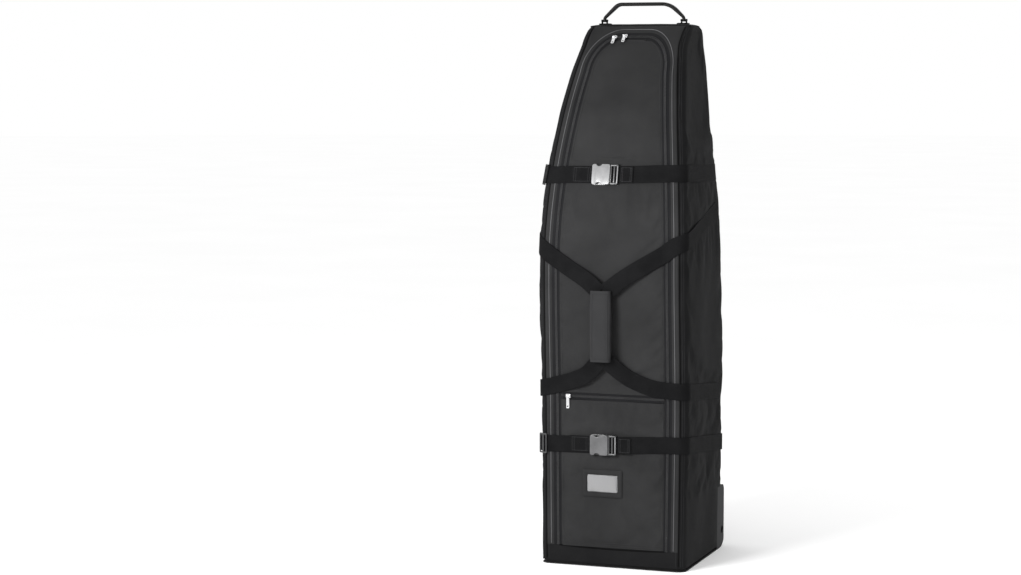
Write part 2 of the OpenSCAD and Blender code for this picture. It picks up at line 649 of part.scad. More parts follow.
module wheel_tyre_right() { wheel_tyre(); }
module wheel_hub_left() { mirrored(-1) wheel_hub(); }
module wheel_hub_right() { wheel_hub(); }
module wheel_bearings_left() { mirrored(-1) wheel_bearings(); }
module wheel_bearings_right() { wheel_bearings(); }
// Screws that hold the housings to the bag, seen on their rear faces
module housing_screws() {
    color(nickel)
        for (side = [-1, 1]) mirrored(side)
            for (x = [housing_x0 + 9, base_half_w - 30])
                translate([x, housing_y + 0.1, 112]) rotate([-90, 0, 0])
                    difference() {
                        cylinder(r = 4, h = 1.6);
                        translate([0, 0, 0.8]) cylinder(r = 2, h = 2, $fn = 6);
                    }
}

cover_lower();
cover_flap();
pocket_panel();
pocket_lining();
pocket_zip_tape();
front_kick();
zip_border();
zip_tape_fixed();
zip_tape_lower();
zip_tape_flap();
seam_piping();
side_panel_left();
side_panel_right();
back_panel();
rear_mesh();
top_panel();
bottom_panel();
base_board();
lining();
club_padding();
zip_slider_left();
zip_slider_right();
zip_pull_left();
zip_pull_right();
pocket_slider();
pocket_pull();
id_frame();
id_window();
id_card();
upper_strap_left();
upper_strap_right();
lower_strap_left();
lower_strap_right();
upper_tri_glide();
lower_ladder_bar();
upper_buckle_female();
upper_buckle_male();
upper_buckle_prongs();
lower_buckle_female();
lower_buckle_male();
lower_buckle_prongs();
carry_web_upper_left();
carry_web_upper_right();
carry_web_lower_left();
carry_web_lower_right();
carry_grip();
top_handle_loop();
top_handle_sleeve();
top_handle_anchors();
wheel_housing_left();
wheel_housing_right();
wheel_axle_left();
wheel_axle_right();
wheel_tyre_left();
wheel_tyre_right();
wheel_hub_left();
wheel_hub_right();
wheel_bearings_left();
wheel_bearings_right();
housing_screws();
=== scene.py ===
"""Golf travel case: fabric shell, webbing, zips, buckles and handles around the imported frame.

Sizes in this script are in millimetres; MM turns them into the frame's metres. A place on the bag is
(u, z): the length u along the bag's outline from the front's middle, and the height z.
"""
import math

import bmesh
import bpy
import numpy as np
from mathutils import Matrix, Vector


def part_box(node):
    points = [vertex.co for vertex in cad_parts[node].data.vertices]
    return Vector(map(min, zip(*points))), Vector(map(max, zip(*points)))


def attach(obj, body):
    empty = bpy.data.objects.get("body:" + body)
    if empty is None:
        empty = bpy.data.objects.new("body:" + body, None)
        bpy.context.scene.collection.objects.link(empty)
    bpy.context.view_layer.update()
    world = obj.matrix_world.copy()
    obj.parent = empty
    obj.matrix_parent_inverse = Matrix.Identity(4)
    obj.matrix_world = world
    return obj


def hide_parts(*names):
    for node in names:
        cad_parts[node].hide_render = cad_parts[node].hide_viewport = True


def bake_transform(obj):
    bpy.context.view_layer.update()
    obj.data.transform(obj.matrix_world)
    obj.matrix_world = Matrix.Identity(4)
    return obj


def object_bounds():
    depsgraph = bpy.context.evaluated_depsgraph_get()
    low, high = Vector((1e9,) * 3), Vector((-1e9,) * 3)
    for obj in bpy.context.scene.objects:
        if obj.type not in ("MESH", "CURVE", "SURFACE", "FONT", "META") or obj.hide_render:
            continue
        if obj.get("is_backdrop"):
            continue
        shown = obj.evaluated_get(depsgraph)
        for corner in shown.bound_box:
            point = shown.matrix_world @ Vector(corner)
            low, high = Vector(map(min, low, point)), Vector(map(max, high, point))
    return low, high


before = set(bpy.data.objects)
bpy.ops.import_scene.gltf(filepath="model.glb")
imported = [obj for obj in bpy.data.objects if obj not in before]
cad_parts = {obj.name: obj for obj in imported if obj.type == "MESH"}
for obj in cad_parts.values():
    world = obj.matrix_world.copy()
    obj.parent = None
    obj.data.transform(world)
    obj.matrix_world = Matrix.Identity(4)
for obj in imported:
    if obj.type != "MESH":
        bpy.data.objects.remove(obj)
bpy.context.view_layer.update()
MM = 0.001

# ---- the bag's driving sizes, as in the CAD ----
BAG_H = 1230.0
BASE_HALF_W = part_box("bottom_panel")[1].x / MM
FRONT_BASE_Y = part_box("bottom_panel")[0].y / MM
BACK_BASE_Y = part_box("bottom_panel")[1].y / MM
FRONT_BELLY_Y = FRONT_BASE_Y - 15
RIDGE_Y = 66.0
BACK_LEAN = 30.0
SIDE_BELLY = 3.0
SIDE_TAPER = 45.0
TAPER_Z, BELLY_Z = 700.0, 690.0
FRONT_R, TOP_R, SIDE_TOP_R = 20.0, 35.0, 12.0
LAME = 1.8
COVER_INSET, SEAM_INSET = 43.0, 15.0
COVER_Z, FOLD_Z, ARCH_Z, ARCH_TOP_Z, ARCH_FLAT = 45.0, 936.0, 1120.0, 1200.0, 30.0
ARCH_S = 0.3
TAPE_W = 8.0
EDGE_STEPS = 361
POCKET_ZIP_Z = 389.0
CAP_Z = BAG_H - 4
HOUSING_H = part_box("wheel_housing_right")[1].z / MM
HOUSING_FRONT_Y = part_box("wheel_housing_right")[0].y / MM
HOUSING_X0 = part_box("wheel_housing_right")[0].x / MM
WEB_W, WEB_T, WEB_BASE = 38.0, 1.8, 2.1
PANEL_T, TAPE_T = 3.0, 1.1
HEM_Z = 8.0
BUCKLE_X, BUCKLE_L, BUCKLE_H = -19.0, 61.0, 46.0
UPPER_STRAP_Z, LOWER_STRAP_Z = 890.0, 281.0


# ---- small helpers for arrays ----
def unit(vectors):
    return vectors / np.maximum(np.linalg.norm(vectors, axis=-1, keepdims=True), 1e-9)


def reach_of(points):
    """Length along a path at each of its points."""
    return np.concatenate([[0], np.cumsum(np.linalg.norm(np.diff(points, axis=0), axis=1))])


def pair(a, b):
    """Two arrays side by side, as UVs or as places (u, z)."""
    return np.stack(np.broadcast_arrays(a, b), -1)


def grid_faces(rows, cols):
    index = np.arange(rows * cols).reshape(rows, cols)
    return np.stack((index[:-1, :-1], index[:-1, 1:], index[1:, 1:], index[1:, :-1]), -1).reshape(-1, 4)


def grid_normals(points):
    return unit(np.cross(np.gradient(points, axis=1), np.gradient(points, axis=0)))


# ---- the bag's skin ----
def ease(a, b, z):
    t = np.clip((np.asarray(z, float) - a) / (b - a), 0, 1)
    return t * t * (3 - 2 * t)


def round_in(z, r):
    e = np.clip(z - (BAG_H - r), 0, r)
    return r - np.sqrt(r * r - e * e)


def half_w(z):
    t = np.clip((np.asarray(z, float) - TAPER_Z) / 480, 0, 1)
    belly = SIDE_BELLY * np.sin(np.pi * np.minimum(z, 1000) / 1000)
    return BASE_HALF_W + belly - SIDE_TAPER * t**LAME - round_in(z, SIDE_TOP_R)


def front_y(z):
    t = np.clip((np.asarray(z, float) - BELLY_Z) / (BAG_H - BELLY_Z), 0, 1)
    lower = FRONT_BASE_Y + (FRONT_BELLY_Y - FRONT_BASE_Y) * ease(330, BELLY_Z, z)
    return lower + (RIDGE_Y - FRONT_BELLY_Y) * (1 - (1 - t**LAME) ** (1 / LAME))


def back_y(z):
    return BACK_BASE_Y - BACK_LEAN * np.asarray(z, float) / BAG_H - round_in(z, TOP_R)


def rear_r(z):
    return 45 + 30 * ease(500, 800, z) - 40 * ease(1000, 1180, z)


def corner_u(z):
    return half_w(z) - FRONT_R


def side_u(z):
    return corner_u(z) + FRONT_R * math.pi / 2


def rear_corner_u(z):
    return side_u(z) + back_y(z) - front_y(z) - FRONT_R - rear_r(z)


def rear_u(z):
    return rear_corner_u(z) + rear_r(z) * math.pi / 2


def back_mid_u(z):
    return rear_u(z) + half_w(z) - rear_r(z)


def seam_u(z):
    return half_w(z) - SEAM_INSET


def cover_u(z):
    return half_w(z) - COVER_INSET


def outline(u, z):
    """Points (x, y) and outward normals of the bag's outline, for arrays of u and z."""
    u, z = np.broadcast_arrays(np.asarray(u, float), np.asarray(z, float))
    v, s = np.abs(u), np.where(u < 0, -1.0, 1.0)
    w, r, yf, yb = half_w(z), rear_r(z), front_y(z), back_y(z)
    a1 = np.clip((v - corner_u(z)) / FRONT_R, 0, np.pi / 2)
    a2 = np.clip((v - rear_corner_u(z)) / r, 0, np.pi / 2)
    front, corner = v < corner_u(z), v < side_u(z)
    side, rear = v < rear_corner_u(z), v < rear_u(z)
    x = np.select(
        [front, corner, side, rear],
        [u, s * (w - FRONT_R + FRONT_R * np.sin(a1)), s * w, s * (w - r + r * np.cos(a2))],
        s * (w - r - (v - rear_u(z))),
    )
    y = np.select(
        [front, corner, side, rear],
        [yf, yf + FRONT_R * (1 - np.cos(a1)), yf + FRONT_R + v - side_u(z), yb - r + r * np.sin(a2)],
        yb,
    )
    nx = np.select([front, corner, side, rear], [0 * u, s * np.sin(a1), s, s * np.cos(a2)], 0.0)
    ny = np.select([front, corner, side, rear], [0 * u - 1, -np.cos(a1), 0 * u, np.sin(a2)], 1.0)
    return np.stack([x, y], -1), np.stack([nx, ny], -1)


def skin(u, z, t=0.0):
    """Points of the bag's skin, t millimetres outwards."""
    u, z, t = np.broadcast_arrays(np.asarray(u, float), np.asarray(z, float), np.asarray(t, float))
    p, n = outline(u, z)
    above, below = np.minimum(z + 1, BAG_H - 0.5), z - 1
    rate = ((outline(u, above)[0] - outline(u, below)[0]) * n).sum(-1) / (above - below)
    k = t / np.sqrt(1 + rate**2)
    return np.concatenate([p + n * k[..., None], (z - rate * k)[..., None]], -1)


def spot(u, z, t=0.0):
    """Matrix that stands a small piece on the skin: X along the outline, Y up, Z outwards."""
    origin = skin(u, z, t)
    right = skin(u + 0.5, z, t) - skin(u - 0.5, z, t)
    outward = skin(u, z, t + 1) - origin
    right, outward = Vector(right).normalized(), Vector(outward).normalized()
    up = outward.cross(right).normalized()
    m = Matrix((right, up, outward)).transposed().to_4x4()
    m.translation = Vector(origin) * MM
    return m


# ---- mesh helpers ----
def link(mesh, name, material=None):
    obj = bpy.data.objects.new(name, mesh)
    bpy.context.scene.collection.objects.link(obj)
    if material:
        obj.data.materials.append(material)
    return obj


def smooth(obj, angle=40):
    obj.data.polygons.foreach_set("use_smooth", [True] * len(obj.data.polygons))
    obj.data.set_sharp_from_angle(angle=math.radians(angle))
    return obj


def rim_edges(faces):
    """The directed edges that only one face uses."""
    a = faces[:, [0, 1, 1, 2, 2, 3, 3, 0]].reshape(-1, 2)
    key = np.sort(a, axis=1)
    _, first, count = np.unique(key, axis=0, return_index=True, return_counts=True)
    return a[first[count == 1]]


def sheet_mesh(name, outer, thickness, uv, material, mask=None):
    """A sheet from a grid of outer points (rows, columns, 3) in millimetres, thickened inwards."""
    rows, cols = outer.shape[:2]
    thick = np.broadcast_to(np.asarray(thickness, float), (rows, cols))[..., None]
    inner = outer - grid_normals(outer) * thick
    points = np.concatenate([outer.reshape(-1, 3), inner.reshape(-1, 3)]) * MM
    top = grid_faces(rows, cols)
    if mask is not None:
        top = top[mask.reshape(-1)]
    base = rows * cols
    p, q = rim_edges(top).T
    faces = np.concatenate([top, top[:, ::-1] + base, np.stack([q, p, p + base, q + base], -1)])
    used, faces = np.unique(faces, return_inverse=True)
    faces = faces.reshape(-1, 4)
    mesh = bpy.data.meshes.new(name)
    mesh.from_pydata(points[used].tolist(), [], faces.tolist())
    layer = mesh.uv_layers.new(name="UVMap")
    flat_uv = np.concatenate([uv.reshape(-1, 2), uv.reshape(-1, 2)])[used]
    layer.data.foreach_set("uv", flat_uv[faces.ravel()].ravel())
    mesh.update()
    return smooth(link(mesh, name, material), 50)


def panel(name, u, z, lift, thickness, material):
    """A sheet laid on the skin over a grid of u and z."""
    return sheet_mesh(name, skin(u, z, lift), thickness, pair(u, z), material)


def lattice(u0, u1, z0, z1, nu, nv):
    """Grids of u and z between two lengths, numbers or functions of z."""
    z = np.linspace(z0, z1, nv + 1)[:, None] + np.zeros(nu + 1)
    low = u0(z[:, :1]) if callable(u0) else u0
    high = u1(z[:, :1]) if callable(u1) else u1
    return low + (high - low) * np.linspace(0, 1, nu + 1)[None, :] + 0 * z, z


def ripple(u, z, pitch, amount, seed, stretch=1.0):
    """Soft irregular waves, the same at every run."""
    wave = np.zeros(np.broadcast(u, z).shape)
    draw = np.random.default_rng(seed)
    for _ in range(7):
        angle, phase = draw.uniform(0, math.pi), draw.uniform(0, 2 * math.pi)
        size = pitch * draw.uniform(0.6, 1.8)
        wave += np.sin((u * math.cos(angle) + z * math.sin(angle) * stretch) * 2 * math.pi / size + phase)
    return wave * amount / 3


def border_fade(nu, nv, width_u, width_v):
    """0 at a grid's rim and 1 inside it."""
    a = np.minimum(np.arange(nu + 1), np.arange(nu + 1)[::-1]) / width_u
    b = np.minimum(np.arange(nv + 1), np.arange(nv + 1)[::-1]) / width_v
    fade = np.clip(np.minimum(a[None, :], b[:, None]), 0, 1)
    return fade * fade * (3 - 2 * fade)


def joined(name, meshes, material):
    """One object from several bmesh pieces in millimetres."""
    whole = bmesh.new()
    for piece in meshes:
        data = bpy.data.meshes.new("part")
        piece.to_mesh(data)
        whole.from_mesh(data)
        piece.free()
        bpy.data.meshes.remove(data)
    mesh = bpy.data.meshes.new(name)
    whole.to_mesh(mesh)
    whole.free()
    return link(mesh, name, material)


def block(centre, size, bevel=0.8, segments=2):
    """A rounded block."""
    bm = bmesh.new()
    bmesh.ops.create_cube(bm, size=1)
    bmesh.ops.scale(bm, vec=size, verts=bm.verts)
    bmesh.ops.translate(bm, vec=centre, verts=bm.verts)
    if bevel:
        bmesh.ops.bevel(bm, geom=bm.edges[:], offset=bevel, segments=segments, affect="EDGES", profile=0.6)
    return bm


def prism(points, z0, z1, bevel=0.8, segments=2):
    """An outline pushed from z0 to z1, with rounded edges."""
    bm = bmesh.new()
    low = [bm.verts.new((x, y, z0)) for x, y in points]
    high = [bm.verts.new((x, y, z1)) for x, y in points]
    n = len(points)
    bm.faces.new(low[::-1])
    bm.faces.new(high)
    for i in range(n):
        bm.faces.new((low[i], low[(i + 1) % n], high[(i + 1) % n], high[i]))
    bmesh.ops.recalc_face_normals(bm, faces=bm.faces)
    if bevel:
        rim = [e for e in bm.edges if abs(e.verts[0].co.z - e.verts[1].co.z) < 1e-6]
        bmesh.ops.bevel(bm, geom=rim, offset=bevel, segments=segments, affect="EDGES", profile=0.6)
    return bm


def rounded_outline(x0, x1, y0, y1, r, steps=5):
    """Corner points of a rectangle with round corners, anticlockwise."""
    points = []
    centres = ((x1 - r, y0 + r, -90), (x1 - r, y1 - r, 0), (x0 + r, y1 - r, 90), (x0 + r, y0 + r, 180))
    for cx, cy, start in centres:
        for k in range(steps + 1):
            a = math.radians(start + 90 * k / steps)
            points.append((cx + r * math.cos(a), cy + r * math.sin(a)))
    return points


def tube(points, radius, sides=8):
    """A swept round bar through points, in millimetres, with flat ends."""
    points = np.asarray(points, float)
    tangent = unit(np.gradient(points, axis=0))
    up = np.array([0.0, 0.0, 1.0]) if abs(tangent[0, 2]) < 0.9 else np.array([0.0, 1.0, 0.0])
    bm = bmesh.new()
    rings = []
    for p, t in zip(points, tangent):
        side = np.cross(t, up)
        side /= np.linalg.norm(side)
        up = np.cross(side, t)
        ring = []
        for k in range(sides):
            a = 2 * math.pi * k / sides
            ring.append(bm.verts.new(p + radius * (side * math.cos(a) + up * math.sin(a))))
        rings.append(ring)
    for a, b in zip(rings[:-1], rings[1:]):
        for k in range(sides):
            j = (k + 1) % sides
            bm.faces.new((a[k], a[j], b[j], b[k]))
    bm.faces.new(rings[0][::-1])
    bm.faces.new(rings[-1])
    return bm


def placed(obj, matrix):
    """Bakes a place on the skin into a piece made in local millimetres."""
    obj.data.transform(matrix @ Matrix.Scale(MM, 4))
    obj.data.update()
    return obj


def baked_mm(obj):
    obj.data.transform(Matrix.Scale(MM, 4))
    return obj


# ---- materials ----
def node(tree, kind, **settings):
    made = tree.nodes.new(kind)
    for key, value in settings.items():
        if key in made.inputs:
            made.inputs[key].default_value = value
        else:
            setattr(made, key, value)
    return made


def maths(tree, operation, a, b=None):
    made = tree.nodes.new("ShaderNodeMath")
    made.operation = operation
    for slot_index, value in enumerate((a, b)):
        if value is None:
            continue
        if isinstance(value, (int, float)):
            made.inputs[slot_index].default_value = value
        else:
            tree.links.new(value, made.inputs[slot_index])
    return made.outputs[0]


def surface(name, dark, light, roughness, blotch=9.0, metal=0.0, sheen=0.0, coat=0.0, specular=0.5):
    """A material whose colour and roughness vary softly between two tones."""
    mat = bpy.data.materials.new(name)
    mat.use_nodes = True
    tree = mat.node_tree
    shader = tree.nodes["Principled BSDF"]
    shader.inputs["Metallic"].default_value = metal
    shader.inputs["Sheen Weight"].default_value = sheen
    shader.inputs["Sheen Roughness"].default_value = 0.4
    shader.inputs["Coat Weight"].default_value = coat
    shader.inputs["Coat Roughness"].default_value = 0.12
    shader.inputs["Specular IOR Level"].default_value = specular
    place = node(tree, "ShaderNodeTexCoord").outputs["Object"]
    cloud = node(tree, "ShaderNodeTexNoise", Scale=blotch, Detail=5.0, Roughness=0.6)
    tree.links.new(place, cloud.inputs["Vector"])
    ramp = node(tree, "ShaderNodeValToRGB")
    ramp.color_ramp.elements[0].position = 0.3
    ramp.color_ramp.elements[1].position = 0.7
    ramp.color_ramp.elements[0].color = (*dark, 1)
    ramp.color_ramp.elements[1].color = (*light, 1)
    tree.links.new(cloud.outputs["Fac"], ramp.inputs["Fac"])
    tree.links.new(ramp.outputs["Color"], shader.inputs["Base Color"])
    spread = node(tree, "ShaderNodeMapRange")
    spread.inputs["To Min"].default_value = roughness - 0.07
    spread.inputs["To Max"].default_value = roughness + 0.07
    tree.links.new(cloud.outputs["Fac"], spread.inputs["Value"])
    tree.links.new(spread.outputs["Result"], shader.inputs["Roughness"])
    return mat, tree, shader, ramp, place


def bump(tree, shader, height, distance, strength=1.0):
    made = node(tree, "ShaderNodeBump", Strength=strength, Distance=distance)
    tree.links.new(height, made.inputs["Height"])
    tree.links.new(made.outputs["Normal"], shader.inputs["Normal"])


def paint_thread_shade(tree, shader, ramp, factor, amount):
    """Painted shade: darkens the colour where factor is low, as in the shade between threads."""
    mixer = node(tree, "ShaderNodeMix", data_type="RGBA", blend_type="MULTIPLY")
    mixer.inputs["Factor"].default_value = amount
    tree.links.new(ramp.outputs["Color"], mixer.inputs["A"])
    tree.links.new(factor, mixer.inputs["B"])
    tree.links.new(mixer.outputs["Result"], shader.inputs["Base Color"])


def woven(name, dark, light, pitch, depth, roughness=0.66, sheen=0.0, grain=0.5, specular=0.03):
    """Plain weave: threads of the given pitch in millimetres, along the piece's own UV."""
    made = surface(name, dark, light, roughness, 7.0, sheen=sheen, specular=specular)
    mat, tree, shader, ramp, place = made
    uv = node(tree, "ShaderNodeUVMap")
    split = node(tree, "ShaderNodeSeparateXYZ")
    tree.links.new(uv.outputs["UV"], split.inputs["Vector"])
    warp = maths(tree, "SINE", maths(tree, "MULTIPLY", split.outputs["X"], 2 * math.pi / pitch))
    weft = maths(tree, "SINE", maths(tree, "MULTIPLY", split.outputs["Y"], 2 * math.pi / pitch))
    cross = maths(tree, "MULTIPLY_ADD", maths(tree, "MULTIPLY", warp, weft), 0.5)
    cross.node.inputs[2].default_value = 0.5
    fine = node(tree, "ShaderNodeTexNoise", Scale=900.0, Detail=2.0)
    tree.links.new(place, fine.inputs["Vector"])
    height = maths(tree, "ADD", cross, maths(tree, "MULTIPLY", fine.outputs["Fac"], grain))
    bump(tree, shader, height, depth * MM)
    # Painted shade between the threads.
    paint_thread_shade(tree, shader, ramp, cross, 0.35)
    return mat


def ribbed(name, dark, light, rib, depth, roughness=0.62):
    """Webbing: close ribs across the band and a herringbone along it."""
    mat, tree, shader, ramp, _ = surface(name, dark, light, roughness, 20.0, specular=0.02)
    uv = node(tree, "ShaderNodeUVMap")
    split = node(tree, "ShaderNodeSeparateXYZ")
    tree.links.new(uv.outputs["UV"], split.inputs["Vector"])
    lane = maths(tree, "PINGPONG", split.outputs["Y"], 2.4)
    slant = maths(tree, "ADD", split.outputs["X"], lane)
    ridge = maths(tree, "SINE", maths(tree, "MULTIPLY", slant, 2 * math.pi / rib))
    lanes = maths(tree, "SINE", maths(tree, "MULTIPLY", split.outputs["Y"], 2 * math.pi / 2.4))
    height = maths(tree, "ADD", maths(tree, "MULTIPLY", ridge, 0.5), maths(tree, "MULTIPLY", lanes, 0.35))
    bump(tree, shader, height, depth * MM)
    shade = maths(tree, "MULTIPLY_ADD", ridge, 0.5)
    shade.node.inputs[2].default_value = 0.5
    # Painted shade in the troughs between the ribs.
    paint_thread_shade(tree, shader, ramp, shade, 0.3)
    return mat


def moulded(name, dark, light, roughness, grain=0.04, grain_scale=700.0, coat=0.0, specular=0.5):
    """Moulded plastic with a fine eroded texture."""
    mat, tree, shader, _, place = surface(name, dark, light, roughness, 30.0, coat=coat, specular=specular)
    fine = node(tree, "ShaderNodeTexNoise", Scale=grain_scale, Detail=3.0)
    tree.links.new(place, fine.inputs["Vector"])
    bump(tree, shader, fine.outputs["Fac"], grain * MM, 0.8)
    return mat


def metallic(name, dark, light, roughness, brushed=0.01):
    mat, tree, shader, _, place = surface(name, dark, light, roughness, 60.0, metal=1.0)
    lines = node(tree, "ShaderNodeTexNoise", Scale=1500.0, Detail=2.0)
    tree.links.new(place, lines.inputs["Vector"])
    bump(tree, shader, lines.outputs["Fac"], brushed * MM, 0.5)
    return mat


def clear_vinyl(name):
    mat, tree, shader, _, place = surface(name, (0.62, 0.62, 0.63), (0.76, 0.76, 0.77), 0.12, 12.0)
    shader.inputs["Alpha"].default_value = 0.14
    waves = node(tree, "ShaderNodeTexNoise", Scale=35.0, Detail=1.0)
    tree.links.new(place, waves.inputs["Vector"])
    bump(tree, shader, waves.outputs["Fac"], 0.5 * MM, 0.6)
    return mat


FRONT = woven("front_fabric", (0.020, 0.020, 0.0205), (0.030, 0.030, 0.0305), 0.9, 0.10)
# Painted shade: the side fabric is the front fabric made darker, standing in for faces turned away from the
# key light; it also covers the back, the top and the front kick panel.
SIDE_PAINTED_SHADE = woven("side_fabric", (0.009, 0.009, 0.0095), (0.0145, 0.0145, 0.015), 0.9, 0.10)
MESH = woven("coarse_mesh", (0.006, 0.006, 0.006), (0.040, 0.040, 0.042), 2.4, 0.55, 0.6, 0.05, 0.2)
LINING = woven("lining_fabric", (0.06, 0.06, 0.065), (0.08, 0.08, 0.085), 0.6, 0.05)
TAPE = woven("zip_tape", (0.011, 0.011, 0.012), (0.016, 0.016, 0.017), 0.8, 0.10)
# Painted highlight: the piping cord beside the zip is light grey to stand in for the bright line of light
# along it.
PIPING_PAINTED_HIGHLIGHT = woven("piping", (0.090, 0.090, 0.093), (0.130, 0.130, 0.134), 0.7, 0.08, 0.45)
SEAM = woven("seam_cord", (0.003, 0.003, 0.003), (0.006, 0.006, 0.006), 0.7, 0.08, 0.7, 0.0)
WEBBING = ribbed("webbing", (0.0062, 0.0062, 0.0066), (0.0105, 0.0105, 0.011), 1.5, 0.22)
TAB = moulded("tab_fabric", (0.010, 0.010, 0.010), (0.016, 0.016, 0.016), 0.85, 0.3, 1200.0, specular=0.05)
GRIP = woven("grip_fabric", (0.023, 0.023, 0.024), (0.033, 0.033, 0.034), 1.1, 0.14)
THREAD = ribbed("thread", (0.028, 0.028, 0.029), (0.045, 0.045, 0.047), 0.8, 0.05)
COIL = moulded("zip_coil", (0.010, 0.010, 0.011), (0.018, 0.018, 0.019), 0.4, specular=0.3)
BUCKLE = moulded("buckle_plastic", (0.018, 0.018, 0.019), (0.028, 0.028, 0.029), 0.30, coat=0.2)
# Painted reflection: the buckle faces are lighter than the buckle body, partly the face's own grey and
# partly the softbox's reflection painted in; the lower buckle's face is a dimmer copy.
PLATE_PAINTED_REFLECTION = moulded("buckle_plate", (0.11, 0.11, 0.113), (0.175, 0.175, 0.178), 0.32, coat=0.3)
PLATE_LOW_PAINTED_REFLECTION = moulded("buckle_plate_lower", (0.055, 0.055, 0.057), (0.09, 0.09, 0.092), 0.32, coat=0.25)
HANDLE = moulded("handle_rubber", (0.004, 0.004, 0.004), (0.007, 0.007, 0.007), 0.5, 0.08, specular=0.12)
HOUSING = moulded("housing_plastic", (0.014, 0.014, 0.015), (0.021, 0.021, 0.022), 0.62, 0.1, 900.0,
                  specular=0.12)
HUB = moulded("wheel_hub", (0.012, 0.012, 0.013), (0.020, 0.020, 0.021), 0.34)
TYRE = moulded("wheel_tyre", (0.005, 0.005, 0.005), (0.009, 0.009, 0.009), 0.16, 0.01, 200.0, coat=0.5)
BOARD = moulded("base_board", (0.010, 0.010, 0.010), (0.018, 0.018, 0.018), 0.7, specular=0.2)
NICKEL = metallic("nickel", (0.68, 0.68, 0.69), (0.80, 0.80, 0.81), 0.20)
STEEL = metallic("axle_steel", (0.50, 0.50, 0.51), (0.66, 0.66, 0.67), 0.28)
CARD = moulded("card", (0.055, 0.055, 0.055), (0.08, 0.08, 0.08), 0.7)
VINYL = clear_vinyl("clear_vinyl")


# ---- paths on the skin ----
def inner_cover_u(z):
    """Half width of the cover inside its zip tape."""
    f = np.clip((np.asarray(z, float) - ARCH_Z) / (ARCH_TOP_Z - TAPE_W - ARCH_Z), 0, 1)
    arch = ARCH_FLAT + (cover_u(ARCH_Z) - TAPE_W - ARCH_FLAT) * np.sqrt(1 - f * f)
    return np.where(z < ARCH_Z, cover_u(z) - TAPE_W, arch)


def edge_path(s, d=0.0):
    """(u, z) of the cover's edge, d outwards: s from -1, the left foot, over the arch, to 1."""
    s = np.asarray(s, float)
    v, g, flat = np.abs(s), np.where(s < 0, -1.0, 1.0), ARCH_S / 6
    c = cover_u(ARCH_Z) - ARCH_FLAT
    t = np.clip((v - flat) / (ARCH_S - flat), 0, 1) * np.pi / 2
    leg = ARCH_Z + (COVER_Z - ARCH_Z) * np.clip((v - ARCH_S) / (1 - ARCH_S), 0, 1)
    arch = g * (ARCH_FLAT + c * np.sin(t))
    u = np.select([v < flat, v < ARCH_S], [ARCH_FLAT * s / flat, arch], g * cover_u(leg))
    z = np.where(v < ARCH_S, ARCH_Z + (ARCH_TOP_Z - ARCH_Z) * np.cos(t), leg)
    return u + g * np.sin(t) * d, z + np.cos(t) * d


def border_path(s):
    """(u, z) of the border's outer edge for the same s: up the seam and along the ridge."""
    s = np.asarray(s, float)
    v, g, turn = np.abs(s), np.where(s < 0, -1.0, 1.0), ARCH_S / 3
    leg = ARCH_Z + (COVER_Z - ARCH_Z) * np.clip((v - ARCH_S) / (1 - ARCH_S), 0, 1)
    rise = CAP_Z + (ARCH_Z - CAP_Z) * np.clip((v - turn) / (ARCH_S - turn), 0, 1)
    z = np.where(v > ARCH_S, leg, rise)
    return np.where(v > turn, g * seam_u(z), seam_u(CAP_Z) * s / turn), z


def spaced(path, step):
    """Evenly spaced (u, z) along a dense path of (u, z)."""
    path = np.asarray(path, float)
    reach = reach_of(skin(path[:, 0], path[:, 1]))
    at = np.arange(step / 2, reach[-1], step)
    return pair(np.interp(at, reach, path[:, 0]), np.interp(at, reach, path[:, 1]))


def frames_along(path, t):
    """Places, and the directions along, across and outwards, at points of a path on the skin."""
    u, z = path[:, 0], path[:, 1]
    origin = skin(u, z, t)
    outward = unit(skin(u, z, np.asarray(t) + 1.0) - origin)
    along = np.gradient(origin, axis=0)
    along = unit(along - outward * (along * outward).sum(1, keepdims=True))
    return origin, along, np.cross(outward, along), outward


def bead(rings, sides=6):
    """Template of a small closed bar along X: rings of (x, radius across, radius outwards, rise)."""
    points, faces = [], []
    for x, across, out, rise in rings:
        for k in range(sides):
            a = 2 * math.pi * k / sides
            points.append((x, across * math.cos(a), rise + out * math.sin(a)))
    for r in range(len(rings) - 1):
        for k in range(sides):
            j = (k + 1) % sides
            faces.append((r * sides + k, (r + 1) * sides + k, (r + 1) * sides + j, r * sides + j))
    last = (len(rings) - 1) * sides
    faces.append(tuple(range(sides)))
    faces.append(tuple(range(last + sides - 1, last - 1, -1)))
    return np.array(points, float), faces


STITCH_END, STITCH_BODY = (0.25, 0.15, -0.1), (0.45, 0.32, 0.1)
STITCH = bead([(-1.55, *STITCH_END), (-0.9, *STITCH_BODY), (0.9, *STITCH_BODY), (1.55, *STITCH_END)])
TOOTH = bead([(-1.9, 0.3, 0.3, 0), (-1.3, 0.62, 0.6, 0.1), (1.3, 0.62, 0.6, 0.1), (1.9, 0.3, 0.3, 0)])


def beads(name, origin, along, across, outward, template, material):
    """One copy of a template at every place, as one piece."""
    points, faces = template
    n, k = len(origin), len(points)
    axes = np.stack([along, across, outward], 1)
    everything = (np.einsum("pc,ncd->npd", points, axes) + origin[:, None, :]).reshape(-1, 3) * MM
    lists = [tuple(f + i * k for f in face) for i in range(n) for face in faces]
    mesh = bpy.data.meshes.new(name)
    mesh.from_pydata(everything.tolist(), [], lists)
    layer = mesh.uv_layers.new(name="UVMap")
    local = np.tile(points[:, :2], (n, 1))
    loops = np.zeros(len(mesh.loops), int)
    mesh.loops.foreach_get("vertex_index", loops)
    layer.data.foreach_set("uv", local[loops].ravel())
    return smooth(link(mesh, name, material), 60)


def stitch_line(name, path, t=0.5, step=4.2):
    return beads(name, *frames_along(spaced(path, step), t), STITCH, THREAD)


